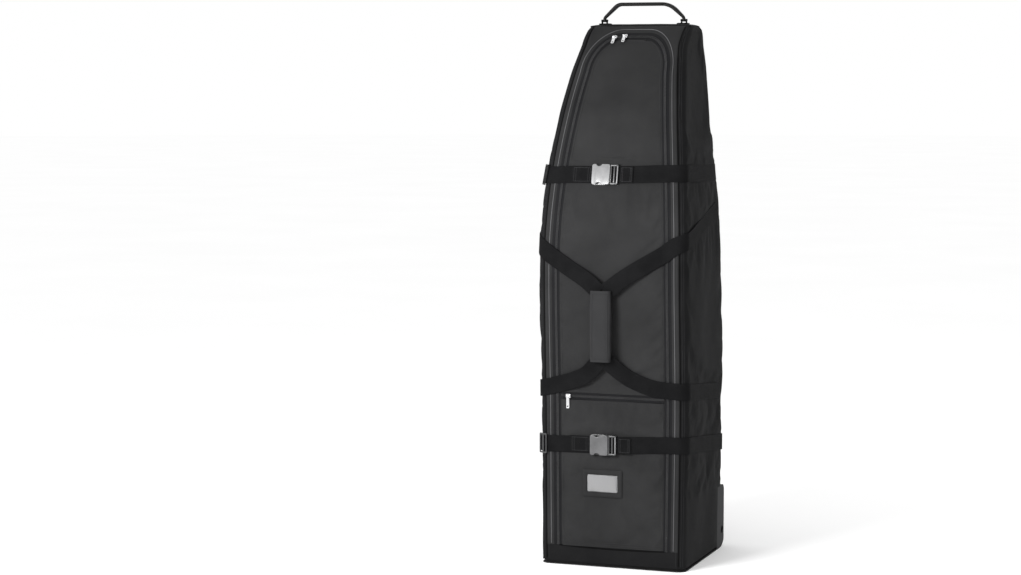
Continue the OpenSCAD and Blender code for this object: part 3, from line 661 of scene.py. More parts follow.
def merge(name, objects):
    """Joins pieces that share a body into one."""
    first = objects[0]
    with bpy.context.temp_override(active_object=first, selected_editable_objects=objects):
        bpy.ops.object.join()
    first.name = name
    first.data.name = name
    return first


def strip(name, d0, d1, t, thickness, material):
    """A strip all along the cover's edge, from d0 to d1 outwards."""
    s = np.linspace(-1, 1, EDGE_STEPS)[None, :]
    d = np.linspace(d0, d1, 4)[:, None]
    u, z = edge_path(s, d)
    outer = skin(u, z, t)
    return sheet_mesh(name, outer, thickness, pair(reach_of(outer[1])[None, :], d), material)


def loft(name, rings, uv, material, angle=60):
    """A closed skin through rings of points (rings, sides, 3) in millimetres, with flat ends."""
    n, sides = rings.shape[:2]
    index = np.arange(n * sides).reshape(n, sides)
    nxt = np.roll(index, -1, axis=1)
    faces = [tuple(f) for f in np.stack([index[:-1], nxt[:-1], nxt[1:], index[1:]], -1).reshape(-1, 4)]
    faces += [tuple(index[0, ::-1]), tuple(index[-1])]
    mesh = bpy.data.meshes.new(name)
    mesh.from_pydata((rings.reshape(-1, 3) * MM).tolist(), [], faces)
    loops = np.zeros(len(mesh.loops), int)
    mesh.loops.foreach_get("vertex_index", loops)
    mesh.uv_layers.new(name="UVMap").data.foreach_set("uv", uv.reshape(-1, 2)[loops].ravel())
    bm = bmesh.new()
    bm.from_mesh(mesh)
    if bm.calc_volume(signed=True) < 0:
        bmesh.ops.reverse_faces(bm, faces=bm.faces)
    bm.to_mesh(mesh)
    bm.free()
    return smooth(link(mesh, name, material), angle)


def cord_on(name, path, radius, t, material, sides=10, step=6.0):
    """A round cord sewn along a path on the skin."""
    origin, _, across, outward = frames_along(spaced(path, step), t)
    a = np.linspace(0, 2 * math.pi, sides + 1)[:-1]
    ring = across[:, None] * np.cos(a)[None, :, None] + outward[:, None] * np.sin(a)[None, :, None]
    uv = pair(np.arange(len(origin))[:, None] * step, a[None] * radius)
    return loft(name, origin[:, None] + ring * radius, uv, material)


def spline(points, count):
    """Smooth path through points (u, z, lift)."""
    p = np.asarray(points, float)
    t = np.linspace(0, 1, count) * (len(p) - 1)
    k = np.minimum(t.astype(int), len(p) - 2)
    f = (t - k)[:, None]
    a, b, c, d = p[np.maximum(k - 1, 0)], p[k], p[k + 1], p[np.minimum(k + 2, len(p) - 1)]
    return b + 0.5 * f * ((c - a) + f * ((2 * a - 5 * b + 4 * c - d) + f * (3 * b - a - 3 * c + d)))


RIBBON_EDGE = [(0.5, 0.5), (0.487, 0.86), (0.468, 1.0)]


def ribbon(name, points, material, width=WEB_W, base=WEB_BASE, thick=WEB_T, slack=0.35, seed=1):
    """Webbing laid on the skin along (u, z, lift) points, with soft edges."""
    rough = spline(points, 400)
    length = reach_of(rough[:, :2])
    count = max(8, int(length[-1] / 3.5))
    at = np.linspace(0, length[-1], count)
    path = np.stack([np.interp(at, length, rough[:, k]) for k in range(3)], -1)
    run = unit(np.gradient(path[:, :2], axis=0))
    m = np.stack([-run[:, 1], run[:, 0]], -1)
    top = [(w, h) for w, h in RIBBON_EDGE] + [(w, 1.0) for w in np.linspace(0.4, -0.4, 9)]
    top += [(-w, h) for w, h in RIBBON_EDGE[::-1]]
    ring = top + [(-w, 1 - h) for w, h in RIBBON_EDGE[1:]]
    ring += [(w, 0.0) for w in np.linspace(-0.4, 0.4, 9)] + [(w, 1 - h) for w, h in RIBBON_EDGE[:0:-1]]
    ring = np.array(ring)
    across, height = ring[:, 0] * width, ring[:, 1] * thick
    wave = ripple(at[:, None], across[None, :], 70, slack, seed) * np.clip(at / 30, 0, 1)[:, None]
    wave = np.maximum(wave * np.clip((at[-1] - at) / 30, 0, 1)[:, None], -0.3)
    u = path[:, :1] + m[:, :1] * across
    z = path[:, 1:2] + m[:, 1:2] * across
    outer = skin(u, z, base + path[:, 2:3] + height + wave)
    return loft(name, outer, pair(at[:, None], across[None, :]), material)


# ---- where the webbing runs: u, z and the lift off the skin ----
BUCKLE_LEFT, BUCKLE_RIGHT = BUCKLE_X - BUCKLE_L / 2, BUCKLE_X + BUCKLE_L / 2
GRIP_X, GRIP_Y, GRIP_LOW, GRIP_TOP, WEB_LIFT = -16.0, -196.0, 474.0, 634.0, 20.0
uz, lz = UPPER_STRAP_Z, LOWER_STRAP_Z
WEBS = {
    "upper_strap_left": [
        [-440, uz, 0], [-300, uz, 0], [-190, uz - 2, 0], [-150, uz - 2, 0], [-100, uz, 0.4],
        [BUCKLE_LEFT + 5, uz, 0.8],
    ],
    "upper_strap_right": [
        [BUCKLE_RIGHT - 5, uz, 2.4], [60, uz + 2, 1.4], [110, uz + 4, 0.2], [150, uz + 5, 0],
        [210, uz + 4, 0], [300, uz, 0], [440, uz, 0],
    ],
    "lower_strap_left": [
        [-470, lz - 26, 0], [-330, lz - 14, 0], [-200, lz - 4, 0], [-150, lz - 3, 0],
        [-100, lz - 2, 0.4], [BUCKLE_LEFT + 5, lz - 1, 0.8],
    ],
    "lower_strap_right": [
        [BUCKLE_RIGHT - 5, lz, 2.4], [60, lz + 3, 1.4], [110, lz + 5, 0.2], [156, lz + 6, 0],
        [240, lz, 0], [340, lz - 12, 0], [470, lz - 26, 0],
    ],
    "carry_web_upper_left": [
        [-330, 790, 0], [-230, 762, 0], [-178, 735, 0], [-140, 708, 0.6], [-97, 681, 4],
        [-52, 655, 14], [GRIP_X - 6, GRIP_TOP - 4, WEB_LIFT],
    ],
    "carry_web_upper_right": [
        [GRIP_X + 8, GRIP_TOP - 4, WEB_LIFT], [34, 662, 13], [79, 690, 4], [120, 714, 0.4],
        [158, 739, 0], [210, 752, 0], [300, 776, 0], [410, 805, 0],
    ],
    "carry_web_lower_left": [
        [-330, 390, 0], [-230, 396, 0], [-172, 404, 0], [-130, 414, 0.6], [-88, 427, 4],
        [-54, 444, 12], [GRIP_X - 6, GRIP_LOW + 4, WEB_LIFT],
    ],
    "carry_web_lower_right": [
        [GRIP_X + 8, GRIP_LOW + 4, WEB_LIFT], [26, 448, 12], [54, 430, 4], [100, 414, 0.6],
        [156, 409, 0], [240, 401, 0], [330, 392, 0], [432, 380, 0],
    ],
}


def under_webs(u, z, half=25):
    """True where a strap presses on the panel."""
    held = np.zeros(z.shape, bool)
    for points in WEBS.values():
        at, height, lift = np.array(points).T
        near = np.abs(z - np.interp(u, at, height)) < half
        held |= near & (u > at[0]) & (u < at[-1]) & (np.interp(u, at, lift) < 3)
    return held


# ---- cloth ----
CLOTH_FRAMES = 16
CLOTH_CAP = 4.0
CLOTH_SINK = 1.2


def settled(outer, pinned, slack=0.012, push=1.2):
    """The sheet after a short cloth simulation: cut a little large, and held along its seams."""
    rows, cols = outer.shape[:2]
    mesh = bpy.data.meshes.new("cloth")
    mesh.from_pydata((outer.reshape(-1, 3) * MM).tolist(), [], grid_faces(rows, cols).tolist())
    obj = link(mesh, "cloth")
    obj.vertex_groups.new(name="pin").add(np.flatnonzero(pinned).tolist(), 1.0, "REPLACE")
    cloth = obj.modifiers.new("cloth", "CLOTH")
    settings = cloth.settings
    settings.quality = 4
    settings.mass = 0.25
    settings.tension_stiffness = 25
    settings.compression_stiffness = 25
    settings.shear_stiffness = 12
    settings.bending_stiffness = 1.5
    settings.vertex_group_mass = "pin"
    settings.shrink_min = -slack
    settings.use_pressure = True
    settings.uniform_pressure_force = push
    settings.effector_weights.gravity = 0.15
    cloth.point_cache.frame_start = 1
    cloth.point_cache.frame_end = CLOTH_FRAMES
    scene = bpy.context.scene
    for k in range(1, CLOTH_FRAMES + 1):
        scene.frame_set(k)
    done = obj.evaluated_get(bpy.context.evaluated_depsgraph_get())
    flat = np.zeros(rows * cols * 3, np.float32)
    done.data.vertices.foreach_get("co", flat)
    move = flat.reshape(rows, cols, 3).astype(float) / MM - outer
    bpy.data.objects.remove(obj)
    bpy.data.meshes.remove(mesh)
    scene.frame_set(1)
    size = np.linalg.norm(move, axis=-1, keepdims=True)
    move = unit(move) * CLOTH_CAP * np.tanh(size / CLOTH_CAP)
    outward = grid_normals(outer)
    depth = (move * outward).sum(-1, keepdims=True)
    sunk = np.where(depth < 0, CLOTH_SINK * np.tanh(depth / CLOTH_SINK), depth)
    return outer + move + outward * (sunk - depth)


def rim(rows, cols):
    held = np.zeros((rows, cols), bool)
    held[[0, -1], :] = True
    held[:, [0, -1]] = True
    return held


# ---- the front ----
ID_X, ID_Z, ID_W, ID_H = -23.0, 192.0, 93.0, 62.0


def cover_panel(name, z_values, columns, seed, heights, window=None):
    z = np.asarray(z_values, float)[:, None] + np.zeros(columns)
    half = inner_cover_u(z)
    across = np.linspace(-1, 1, columns)[None, :]
    u = half * np.sign(across) * (1 - (1 - np.abs(across)) ** 1.15)
    inside = np.clip((half - np.abs(u)) / 9, 0, 1) ** 0.5
    lift = -0.6 + 1.8 * inside
    lift = lift + ripple(u, z, 210, 1.7, seed, 0.6) * inside + ripple(u, z, 75, 0.38, seed + 1) * inside
    for height in heights:
        lift -= 1.4 * np.exp(-(((z - height) / 26) ** 2)) * inside
    outer = skin(u, z, lift)
    held = rim(*z.shape) | under_webs(u, z)
    if window:
        held |= (np.abs(u - window[0]) < window[2] / 2 + 4) & (np.abs(z - window[1]) < window[3] / 2 + 4)
    outer = settled(outer, held)
    return sheet_mesh(name, outer, PANEL_T, pair(u, z), FRONT)


arch_rows = ARCH_Z + (ARCH_TOP_Z - TAPE_W - ARCH_Z) * np.sin(np.linspace(0, np.pi / 2, 26))
cover_rows = np.concatenate([
    np.linspace(POCKET_ZIP_Z + TAPE_W + 0.4, 920, 95),
    np.linspace(922, 950, 15),
    np.linspace(955, ARCH_Z - 5, 33),
    arch_rows,
])
front_cover = cover_panel("front_cover", cover_rows, 61, 11, (UPPER_STRAP_Z,))
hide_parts("cover_lower", "cover_flap")
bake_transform(front_cover)

pocket_rows = np.linspace(COVER_Z, POCKET_ZIP_Z - TAPE_W - 0.4, 66)
pocket_front = cover_panel("pocket_front", pocket_rows, 61, 23, (LOWER_STRAP_Z,), (ID_X, ID_Z, ID_W, ID_H))
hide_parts("pocket_panel")
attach(pocket_front, "bag")


def flat_panel(name, u0, u1, z0, z1, nu, nv, t, thickness, material, wave=0.0, seed=3):
    u, z = lattice(u0, u1, z0, z1, nu, nv)
    lift = t + ripple(u, z, 80, wave, seed) * border_fade(nu, nv, 3, 3)
    return panel(name, u, z, lift, thickness, material)


def ride(obj, body, replaces=()):
    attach(obj, body)
    if replaces:
        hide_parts(*replaces)
    return obj


left_inner, right_inner = (lambda z: -inner_cover_u(z)), inner_cover_u
pocket_back = flat_panel("pocket_back", left_inner, right_inner, COVER_Z, POCKET_ZIP_Z + TAPE_W, 20, 30,
                         -5.4, 1.2, LINING, 0.3)
ride(pocket_back, "bag", ["pocket_lining"])
# The front kick panel takes the darker side fabric: painted shade along the bottom of the front.
kick = flat_panel("front_kick_panel", lambda z: 0.4 - seam_u(z), lambda z: seam_u(z) - 0.4,
                  HEM_Z, COVER_Z - 0.4, 60, 10, 0.3, PANEL_T, SIDE_PAINTED_SHADE, 0.5)
ride(kick, "bag", ["front_kick"])

s_line = np.linspace(-1, 1, EDGE_STEPS)
inner_u, inner_z = edge_path(s_line, TAPE_W + 2)
outer_u, outer_z = border_path(s_line)
share = np.linspace(0, 1, 13)[:, None]
border_u, border_z = inner_u + (outer_u - inner_u) * share, inner_z + (outer_z - inner_z) * share
swell = 1.3 * np.sin(np.pi * share) ** 0.6 + ripple(border_u, border_z, 90, 0.3, 31) * np.sin(np.pi * share)
border = panel("zip_border_panel", border_u, border_z, swell, PANEL_T, FRONT)
ride(border, "bag", ["zip_border"])

# Zip tapes, coils, the cord beside them, light grey as a painted highlight, and the stitching
tape_outer = strip("zip_tape_outer", 0.3, TAPE_W + 2.2, -0.2, TAPE_T, TAPE)
ride(tape_outer, "bag", ["zip_tape_fixed"])
tape_inner = strip("zip_tape_inner", -TAPE_W, -0.3, -0.2, TAPE_T, TAPE)
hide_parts("zip_tape_lower", "zip_tape_flap")
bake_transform(tape_inner)


def edge_line(d, s0=-1.0, s1=1.0):
    return np.stack(edge_path(np.linspace(s0, s1, 1200), d), -1)


def coil(name, path, t, step=1.5, shift=0.0):
    origin, along, across, outward = frames_along(spaced(path, step), t)
    return beads(name, origin + along * shift, across, -along, outward, TOOTH, COIL)


coil_outer = coil("zip_coil_outer", edge_line(1.4), 0.5)
ride(coil_outer, "bag")
coil_inner = coil("zip_coil_inner", edge_line(-1.4), 0.5, 1.5, 0.75)
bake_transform(coil_inner)
tape_stitch = stitch_line("zip_tape_stitching", edge_line(TAPE_W + 5.0), 1.0)
ride(tape_stitch, "bag")
cover_stitch = stitch_line("cover_edge_stitching", edge_line(-TAPE_W - 4.0), 1.1)
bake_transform(cover_stitch)
welt = cord_on("zip_welt", edge_line(TAPE_W + 8.5), 0.9, 1.1, PIPING_PAINTED_HIGHLIGHT)
ride(welt, "bag")


def column(u_of_z, z0, z1, count=500):
    z = np.linspace(z0, z1, count)
    return np.stack([u_of_z(z), z], -1)


def level(z, u0, u1, count=500, sag=0.0):
    u = np.linspace(u0, u1, count)
    middle, half = (u0 + u1) / 2, (u1 - u0) / 2
    return pair(u, z - sag * (1 - ((u - middle) / half) ** 2))


pocket_half = float(inner_cover_u(POCKET_ZIP_Z))
u, z = lattice(-pocket_half, pocket_half, POCKET_ZIP_Z - TAPE_W, POCKET_ZIP_Z + TAPE_W, 60, 4)
pocket_tape = panel("pocket_zip_tapes", u, z, -0.2, TAPE_T, TAPE)
ride(pocket_tape, "bag", ["pocket_zip_tape"])
for name, dz, shift in (("pocket_coil_upper", 1.4, 0.0), ("pocket_coil_lower", -1.4, 0.75)):
    teeth_line = level(POCKET_ZIP_Z + dz, -pocket_half + 1, pocket_half - 1)
    ride(coil(name, teeth_line, 0.5, 1.5, shift), "bag")
pocket_lines = []
for dz in (TAPE_W + 4, -TAPE_W - 4):
    row = level(POCKET_ZIP_Z + dz, -pocket_half + 4, pocket_half - 4)
    pocket_lines.append(stitch_line("line", row, 0.9))
ride(merge("pocket_zip_stitching", pocket_lines), "bag")
kick_lines = [
    stitch_line("cover_foot_stitching", level(COVER_Z + 6, -pocket_half + 2, pocket_half - 2), 0.9),
    stitch_line("line", level(COVER_Z + 11, -pocket_half + 2, pocket_half - 2), 1.1),
]
ride(merge("cover_foot_stitching", kick_lines), "bag")
foot_seam = level(COVER_Z, -float(cover_u(COVER_Z)) + 1, float(cover_u(COVER_Z)) - 1, 300, 3.0)
ride(cord_on("cover_foot_cord", foot_seam, 1.5, 0.4, SEAM), "bag")

# ---- the sides, the back and the top ----
def side_grid():
    """Grid of (u, z) for the right side, its columns bent to run along the wheel housing, and its faces."""
    low = np.linspace(HEM_Z, HOUSING_H + 1, 16)
    z = np.concatenate([low, np.linspace(HOUSING_H + 1, CAP_Z, 126)[1:]])[:, None]
    start, end = seam_u(z) + 0.4, rear_u(z) + 12
    at_housing = side_u(z) + HOUSING_FRONT_Y - 2 - front_y(z) - FRONT_R
    split = (at_housing - start) / (end - start)
    split = split + (0.72 - split) * ease(HOUSING_H + 10, 520, z)
    before, after = np.linspace(0, 1, 49)[None, :], np.linspace(0, 1, 19)[None, 1:]
    share = np.concatenate([split * before, split + (1 - split) * after], 1)
    u = start + (end - start) * share
    z = z + np.zeros(u.shape)
    keep = np.ones((z.shape[0] - 1, z.shape[1] - 1), bool)
    keep[:15, 48:] = False
    return u, z, keep


def side_shell(name, side, seed, node_name):
    u, z, keep = side_grid()
    soft = border_fade(u.shape[1] - 1, u.shape[0] - 1, 4, 4)
    lift = 0.4 + soft * (0.6 + ripple(u, z, 220, 1.7, seed, 0.45) + ripple(u, z, 70, 0.4, seed + 1, 0.6))
    low_edge = (z < HOUSING_H + 12) & (u > side_u(z) + HOUSING_FRONT_Y - 14 - front_y(z) - FRONT_R)
    lift = np.where(low_edge, np.minimum(lift, 0.3), lift)
    if side < 0:
        u, z, lift, keep = -u[:, ::-1], z[:, ::-1], lift[:, ::-1], keep[:, ::-1]
    outer = skin(u, z, lift)
    held = rim(*u.shape) | under_webs(u, z) | (z < HOUSING_H + 12)
    outer = settled(outer, held, 0.010, 0.8)
    shell = sheet_mesh(name, outer, PANEL_T, pair(u, z), SIDE_PAINTED_SHADE, keep)
    ride(shell, "bag", [node_name])


side_shell("side_shell_right", 1, 41, "side_panel_right")
side_shell("side_shell_left", -1, 47, "side_panel_left")

z = np.linspace(HOUSING_H + 1.4, CAP_Z, 121)[:, None]
back0, back1 = rear_u(z) + 12.4, rear_u(z) + 2 * (half_w(z) - rear_r(z)) - 12.4
u = back0 + (back1 - back0) * np.linspace(0, 1, 41)[None, :]
z = z + np.zeros(u.shape)
back_lift = border_fade(40, 120, 4, 4) * (0.6 + ripple(u, z, 200, 1.0, 53))
back_points = settled(skin(u, z, back_lift), rim(*u.shape) | under_webs(u, z), 0.008, 0.6)
back_shell = sheet_mesh("back_shell", back_points, PANEL_T, pair(u, z), SIDE_PAINTED_SHADE)
ride(back_shell, "bag", ["back_panel"])

mesh_x = np.linspace(-HOUSING_X0 + 1, HOUSING_X0 - 1, 61)[None, :]
mesh_z = np.linspace(HEM_Z, HOUSING_H, 41)[:, None]
bulge = np.sin(np.pi * (mesh_x + HOUSING_X0) / 2 / HOUSING_X0)
bulge = bulge * np.sin(np.pi * (mesh_z - HEM_Z) / (HOUSING_H - HEM_Z))
rear_points = np.stack(np.broadcast_arrays(-mesh_x, BACK_BASE_Y + bulge, mesh_z), -1)
rear_sheet = sheet_mesh("rear_mesh_panel", rear_points, 2.4,
                        pair(mesh_x, mesh_z), MESH)
ride(rear_sheet, "bag", ["rear_mesh"])
hem_x = np.linspace(-HOUSING_X0 + 2, HOUSING_X0 - 2, 9)
hem = tube([(x, BACK_BASE_Y - 2.4, HOUSING_H + 1.0) for x in hem_x], 2.7, 14)
ride(smooth(baked_mm(joined("rear_mesh_seam_cord", [hem], TAB))), "bag")


def ridge_half(y):
    """Half width of the ridge at depth y, following the round rear corners."""
    w, r = float(half_w(CAP_Z)), float(rear_r(CAP_Z))
    e = np.maximum(0, y - float(back_y(CAP_Z)) + r)
    return w - r + np.sqrt(np.maximum(0, r * r - e * e))


top_y0, top_y1 = float(front_y(CAP_Z)) + 2, float(back_y(CAP_Z)) - 1
rows_t = np.sin(np.linspace(0, np.pi / 2, 21))[:, None]
top_y = top_y0 + (top_y1 - top_y0) * rows_t
cols_t = np.linspace(-1, 1, 41)[None, :]
top_x = (ridge_half(top_y) - 1.5) * cols_t
crown = 2 * (1 - cols_t**4) * (1 - (2 * rows_t - 1) ** 2)
roll = np.maximum(np.abs(cols_t) ** 16, np.abs(2 * rows_t - 1) ** 12)
top_z = CAP_Z + 3.4 + crown - 2.6 * roll + ripple(top_x, top_y, 60, 0.25, 61) * border_fade(40, 20, 3, 3)
top_points = np.stack(np.broadcast_arrays(top_x, top_y, top_z), -1)
top_shell = sheet_mesh("top_shell", top_points, 2.6, np.stack([top_x, top_y + 0 * top_x], -1), SIDE_PAINTED_SHADE)
ride(top_shell, "bag", ["top_panel"])

# Seam cords, and double rows of stitching beside them
seam_cords, seam_rows = [], []
for sign in (-1, 1):
    seam = column(lambda z: sign * seam_u(z), HEM_Z + 2, CAP_Z - 2)
    seam_cords.append(cord_on("cord", seam, 1.5, 0.3, SEAM))
    back_seam = column(lambda z: sign * (rear_u(z) + 12.2), HOUSING_H + 2, CAP_Z - 2)
    seam_cords.append(cord_on("cord", back_seam, 1.4, 0.3, SEAM))
    for offset in (-5.5, 5.5, 10.0):
        line = column(lambda z: sign * (seam_u(z) + offset), HEM_Z + 4, CAP_Z - 6)
        seam_rows.append(stitch_line("line", line, 0.9))
    for offset in (-4.5, 4.5):
        line = column(lambda z: sign * (rear_u(z) + 12.2 + offset), HOUSING_H + 6, CAP_Z - 6)
        seam_rows.append(stitch_line("line", line, 0.7))
ride(merge("seam_cords", seam_cords), "bag", ["seam_piping"])
ride(merge("seam_stitching", seam_rows), "bag")

# ---- inside: lining and quilted foam ----
LINING_DEPTH, FOAM_DEPTH = 9.4, 11.5
for side, word in ((1, "right"), (-1, "left")):
    back_end = lambda z: back_mid_u(z) - 0.3
    u, z = lattice(lambda z: seam_u(z) + 2, back_end, HOUSING_H + 6, CAP_Z - 36, 60, 70)
    if side < 0:
        u, z = -u[:, ::-1], z[:, ::-1]
    cloth = panel("lining_" + word, u, z, -LINING_DEPTH + ripple(u, z, 90, 0.15, 71), 1.0, LINING)
    ride(cloth, "bag", ["lining"] if side > 0 else [])
    u, z = lattice(lambda z: side_u(z) + 6, back_end, 760, CAP_Z - 50, 72, 80)
    if side < 0:
        u, z = -u[:, ::-1], z[:, ::-1]
    quilt = np.abs(np.sin(np.pi * (u + z) / 70) * np.sin(np.pi * (u - z) / 70)) ** 0.5
    foam_t = 7.0 + 5.0 * quilt * border_fade(72, 80, 3, 3)
    foam = panel("head_padding_" + word, u, z, -FOAM_DEPTH, foam_t, LINING)
    ride(foam, "bag", ["club_padding"] if side > 0 else [])

# ---- webbing ----
for name, points in WEBS.items():
    web = ribbon(name + "_webbing", points, WEBBING, seed=len(name) + int(points[0][1]))
    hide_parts(name)
    if name.startswith("carry"):
        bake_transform(web)
    elif name.endswith("right"):
        height = points[0][1] * MM
        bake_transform(web)
    else:
        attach(web, "bag")


def turn_back(name, u0, u1, z, lift, body):
    """The folded end of a strap at a buckle or glide, lying on the strap, with its stitching."""
    fold = ribbon(name, [[u0, z, lift], [(u0 + u1) / 2, z, lift], [u1, z, lift]], WEBBING,
                  WEB_W - 0.8, WEB_BASE + WEB_T + 0.1, 1.6, 0.15, int(z))
    rows = []
    for share in (0.12, 0.22, 0.8, 0.9):
        at = u0 + (u1 - u0) * share
        path = np.stack([np.full(60, at), np.linspace(z - 15, z + 15, 60)], -1)
        rows.append(stitch_line("line", path, WEB_BASE + 2 * WEB_T + lift + 0.15, 3.4))
    for dz in (-15, 15):
        path = level(z + dz, u0 + (u1 - u0) * 0.12, u0 + (u1 - u0) * 0.9, 80)
        rows.append(stitch_line("line", path, WEB_BASE + 2 * WEB_T + lift + 0.15, 3.4))
    for piece in (fold, merge(name + "_stitching", rows)):
        ride(piece, body)


for word, height in (("upper", uz), ("lower", lz)):
    turn_back(word + "_strap_fold", BUCKLE_LEFT - 50, BUCKLE_LEFT - 1, height, 0.5, "bag")
    turn_back(word + "_strap_tail", BUCKLE_RIGHT + 3, BUCKLE_RIGHT + 34, height + 0.5, 2.2, word + "_clip")

# ---- carry grip ----
grip_z = np.linspace(GRIP_LOW, GRIP_TOP, 61)
grip_z = np.concatenate([[GRIP_LOW + 4, GRIP_LOW + 1], grip_z, [GRIP_TOP - 1, GRIP_TOP - 4]])
turn = np.linspace(0, 2 * np.pi, 73)[:-1]
taper = 1 - 0.07 * np.abs((grip_z - (GRIP_LOW + GRIP_TOP) / 2) / 80) ** 3
closing = np.ones(len(grip_z))
closing[[0, -1]], closing[[1, -2]] = 0.80, 0.93
cos_t, sin_t = np.cos(turn), np.sin(turn)
around_x = np.sign(cos_t) * np.abs(cos_t) ** 0.62 * 25
around_y = np.sign(sin_t) * np.abs(sin_t) ** 0.72 * 10.5
pucker = 1 + 0.02 * ripple(turn[None, :] * 16, grip_z[:, None], 34, 1.0, 91)
scale = (taper * closing)[:, None] * pucker
rings = np.broadcast_arrays(GRIP_X + around_x * scale, GRIP_Y + around_y * scale, grip_z[:, None])
grip = loft("carry_grip_wrap", np.stack(rings, -1), pair(turn[None, :] * 16, grip_z[:, None]), GRIP)
ride(grip, "carry_grip", ["carry_grip"])


def line_of(points, step, outward=(0.0, -1.0, 0.0)):
    """Stitches along straight points of a flat face."""
    points = np.asarray(points, float)
    reach = reach_of(points)
    at = np.arange(step / 2, reach[-1], step)
    origin = np.stack([np.interp(at, reach, points[:, k]) for k in range(3)], -1)
    along = unit(np.gradient(origin, axis=0))
    outward = np.tile(outward, (len(origin), 1))
    return beads("line", origin, along, np.cross(outward, along), outward, STITCH, THREAD)


front_of_grip = GRIP_Y - 10.6
low, high = GRIP_LOW + 7, GRIP_TOP - 7
around = [(-18, low), (18, low), (18, high), (-18, high), (-18, low)]
border_points = [(GRIP_X + x, front_of_grip, z) for x, z in around]
grip_rows = [line_of(border_points[k : k + 2], 4.0) for k in range(4)]
ride(merge("carry_grip_stitching", grip_rows), "carry_grip")

# ---- top handle ----
HANDLE_X, HANDLE_Y, PIVOT_Z, FOOT_X, BAR_X = -6.0, 95.0, 1240.0, 96.0, 62.0
BAR_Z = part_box("top_handle_loop")[1].z / MM - 3.6


def rounded_path(corners, radii, steps=8):
    """A path through corners, each turned with its own radius."""
    corners = [np.array(c, float) for c in corners]
    path = [corners[0]]
    for before, at, after, r in zip(corners, corners[1:], corners[2:], radii):
        a, b = before - at, after - at
        a, b = a / np.linalg.norm(a), b / np.linalg.norm(b)
        start, end = at + a * r, at + b * r
        for k in range(steps + 1):
            t = k / steps
            path.append((1 - t) ** 2 * start + 2 * t * (1 - t) * at + t * t * end)
    path.append(corners[-1])
    return np.array(path)


def bar_loft(name, path, half_y, half_t, material, power=0.55):
    """A soft-edged bar whose path lies in a plane of constant Y."""
    run = unit(np.gradient(path, axis=0))
    side = np.array([0.0, 1.0, 0.0])
    across = np.cross(run, side)
    a = np.linspace(0, 2 * np.pi, 29)[:-1]
    y = np.sign(np.cos(a)) * np.abs(np.cos(a)) ** power
    t = np.sign(np.sin(a)) * np.abs(np.sin(a)) ** power
    half_y, half_t = np.broadcast_to(half_y, len(path)), np.broadcast_to(half_t, len(path))
    rings = path[:, None] + side * (y[None] * half_y[:, None])[..., None]
    rings = rings + across[:, None] * (t[None] * half_t[:, None])[..., None]
    return loft(name, rings, pair(reach_of(path)[:, None], a[None] * 8), material, 50)


corners = [(-FOOT_X, PIVOT_Z - 3.5), (-FOOT_X, PIVOT_Z + 6), (-BAR_X, BAR_Z)]
corners += [(-x, z) for x, z in corners[::-1]]
loop = rounded_path([(HANDLE_X + x, HANDLE_Y, z) for x, z in corners], (5, 9, 20, 6))
foot_width = 4.6 + 4.2 * ease(PIVOT_Z + 2, PIVOT_Z + 20, loop[:, 2])
thickness = 3.3 + 0.9 * ease(PIVOT_Z + 8, PIVOT_Z + 24, loop[:, 2])
loop_obj = bar_loft("top_handle_strap", loop, foot_width, thickness, HANDLE)
ride(loop_obj, "top_handle", ["top_handle_loop"])
sleeve = np.array([(HANDLE_X + x, HANDLE_Y, BAR_Z) for x in np.linspace(-BAR_X + 9, BAR_X - 9, 31)])
swell = 1 - 0.35 * np.abs(np.linspace(-1, 1, 31)) ** 12
sleeve_obj = bar_loft("top_handle_grip", sleeve, 10.6 * swell, 4.0 * swell, HANDLE, 0.7)
ride(sleeve_obj, "top_handle", ["top_handle_sleeve"])

tabs, tab_rows, pins = [], [], []
for sign in (-1, 1):
    centre_x, tab_z = HANDLE_X + sign * (FOOT_X - 2), CAP_Z + 5.8
    tabs.append(block((centre_x, HANDLE_Y, tab_z), (26, 20, 3.0), 1.2, 3))
    for dx, dy in ((-10, 0), (10, 0), (0, -7), (0, 7)):
        ends = [(centre_x + dx - 9 * (dx == 0), HANDLE_Y + dy - 6 * (dy == 0), tab_z + 1.6),
                (centre_x + dx + 9 * (dx == 0), HANDLE_Y + dy + 6 * (dy == 0), tab_z + 1.6)]
        tab_rows.append(line_of(ends, 3.2, outward=(0.0, 0.0, 1.0)))
    lug_low, lug_high, slot_z = tab_z - 1, PIVOT_Z + 2.6, PIVOT_Z - 6.4
    foot_x = HANDLE_X + sign * FOOT_X
    for dx in (-5.8, 5.8):
        place = (foot_x + dx, HANDLE_Y, (lug_low + lug_high) / 2)
        tabs.append(block(place, (2.6, 7, lug_high - lug_low), 0.8, 3))
    place = (foot_x, HANDLE_Y, (lug_low + slot_z) / 2)
    tabs.append(block(place, (12, 9, slot_z - lug_low), 0.8, 3))
    pins.append(tube([(foot_x + x, HANDLE_Y, PIVOT_Z) for x in (-8.2, -4, 4, 8.2)], 1.9, 16))
ride(smooth(baked_mm(joined("top_handle_pins", pins, TAB))), "top_handle")
tab_obj = smooth(baked_mm(joined("top_handle_tabs", tabs, TAB)), 50)
ride(tab_obj, "bag", ["top_handle_anchors"])
ride(merge("top_handle_tab_stitching", tab_rows), "bag")

# ---- ID window ----


def frame_loop(inset, r):
    x, y = ID_W / 2 - inset, ID_H / 2 - inset * 1.08
    points = rounded_outline(-x, x, -y, y, r, 6)
    points.append(points[0])
    return np.array(points)


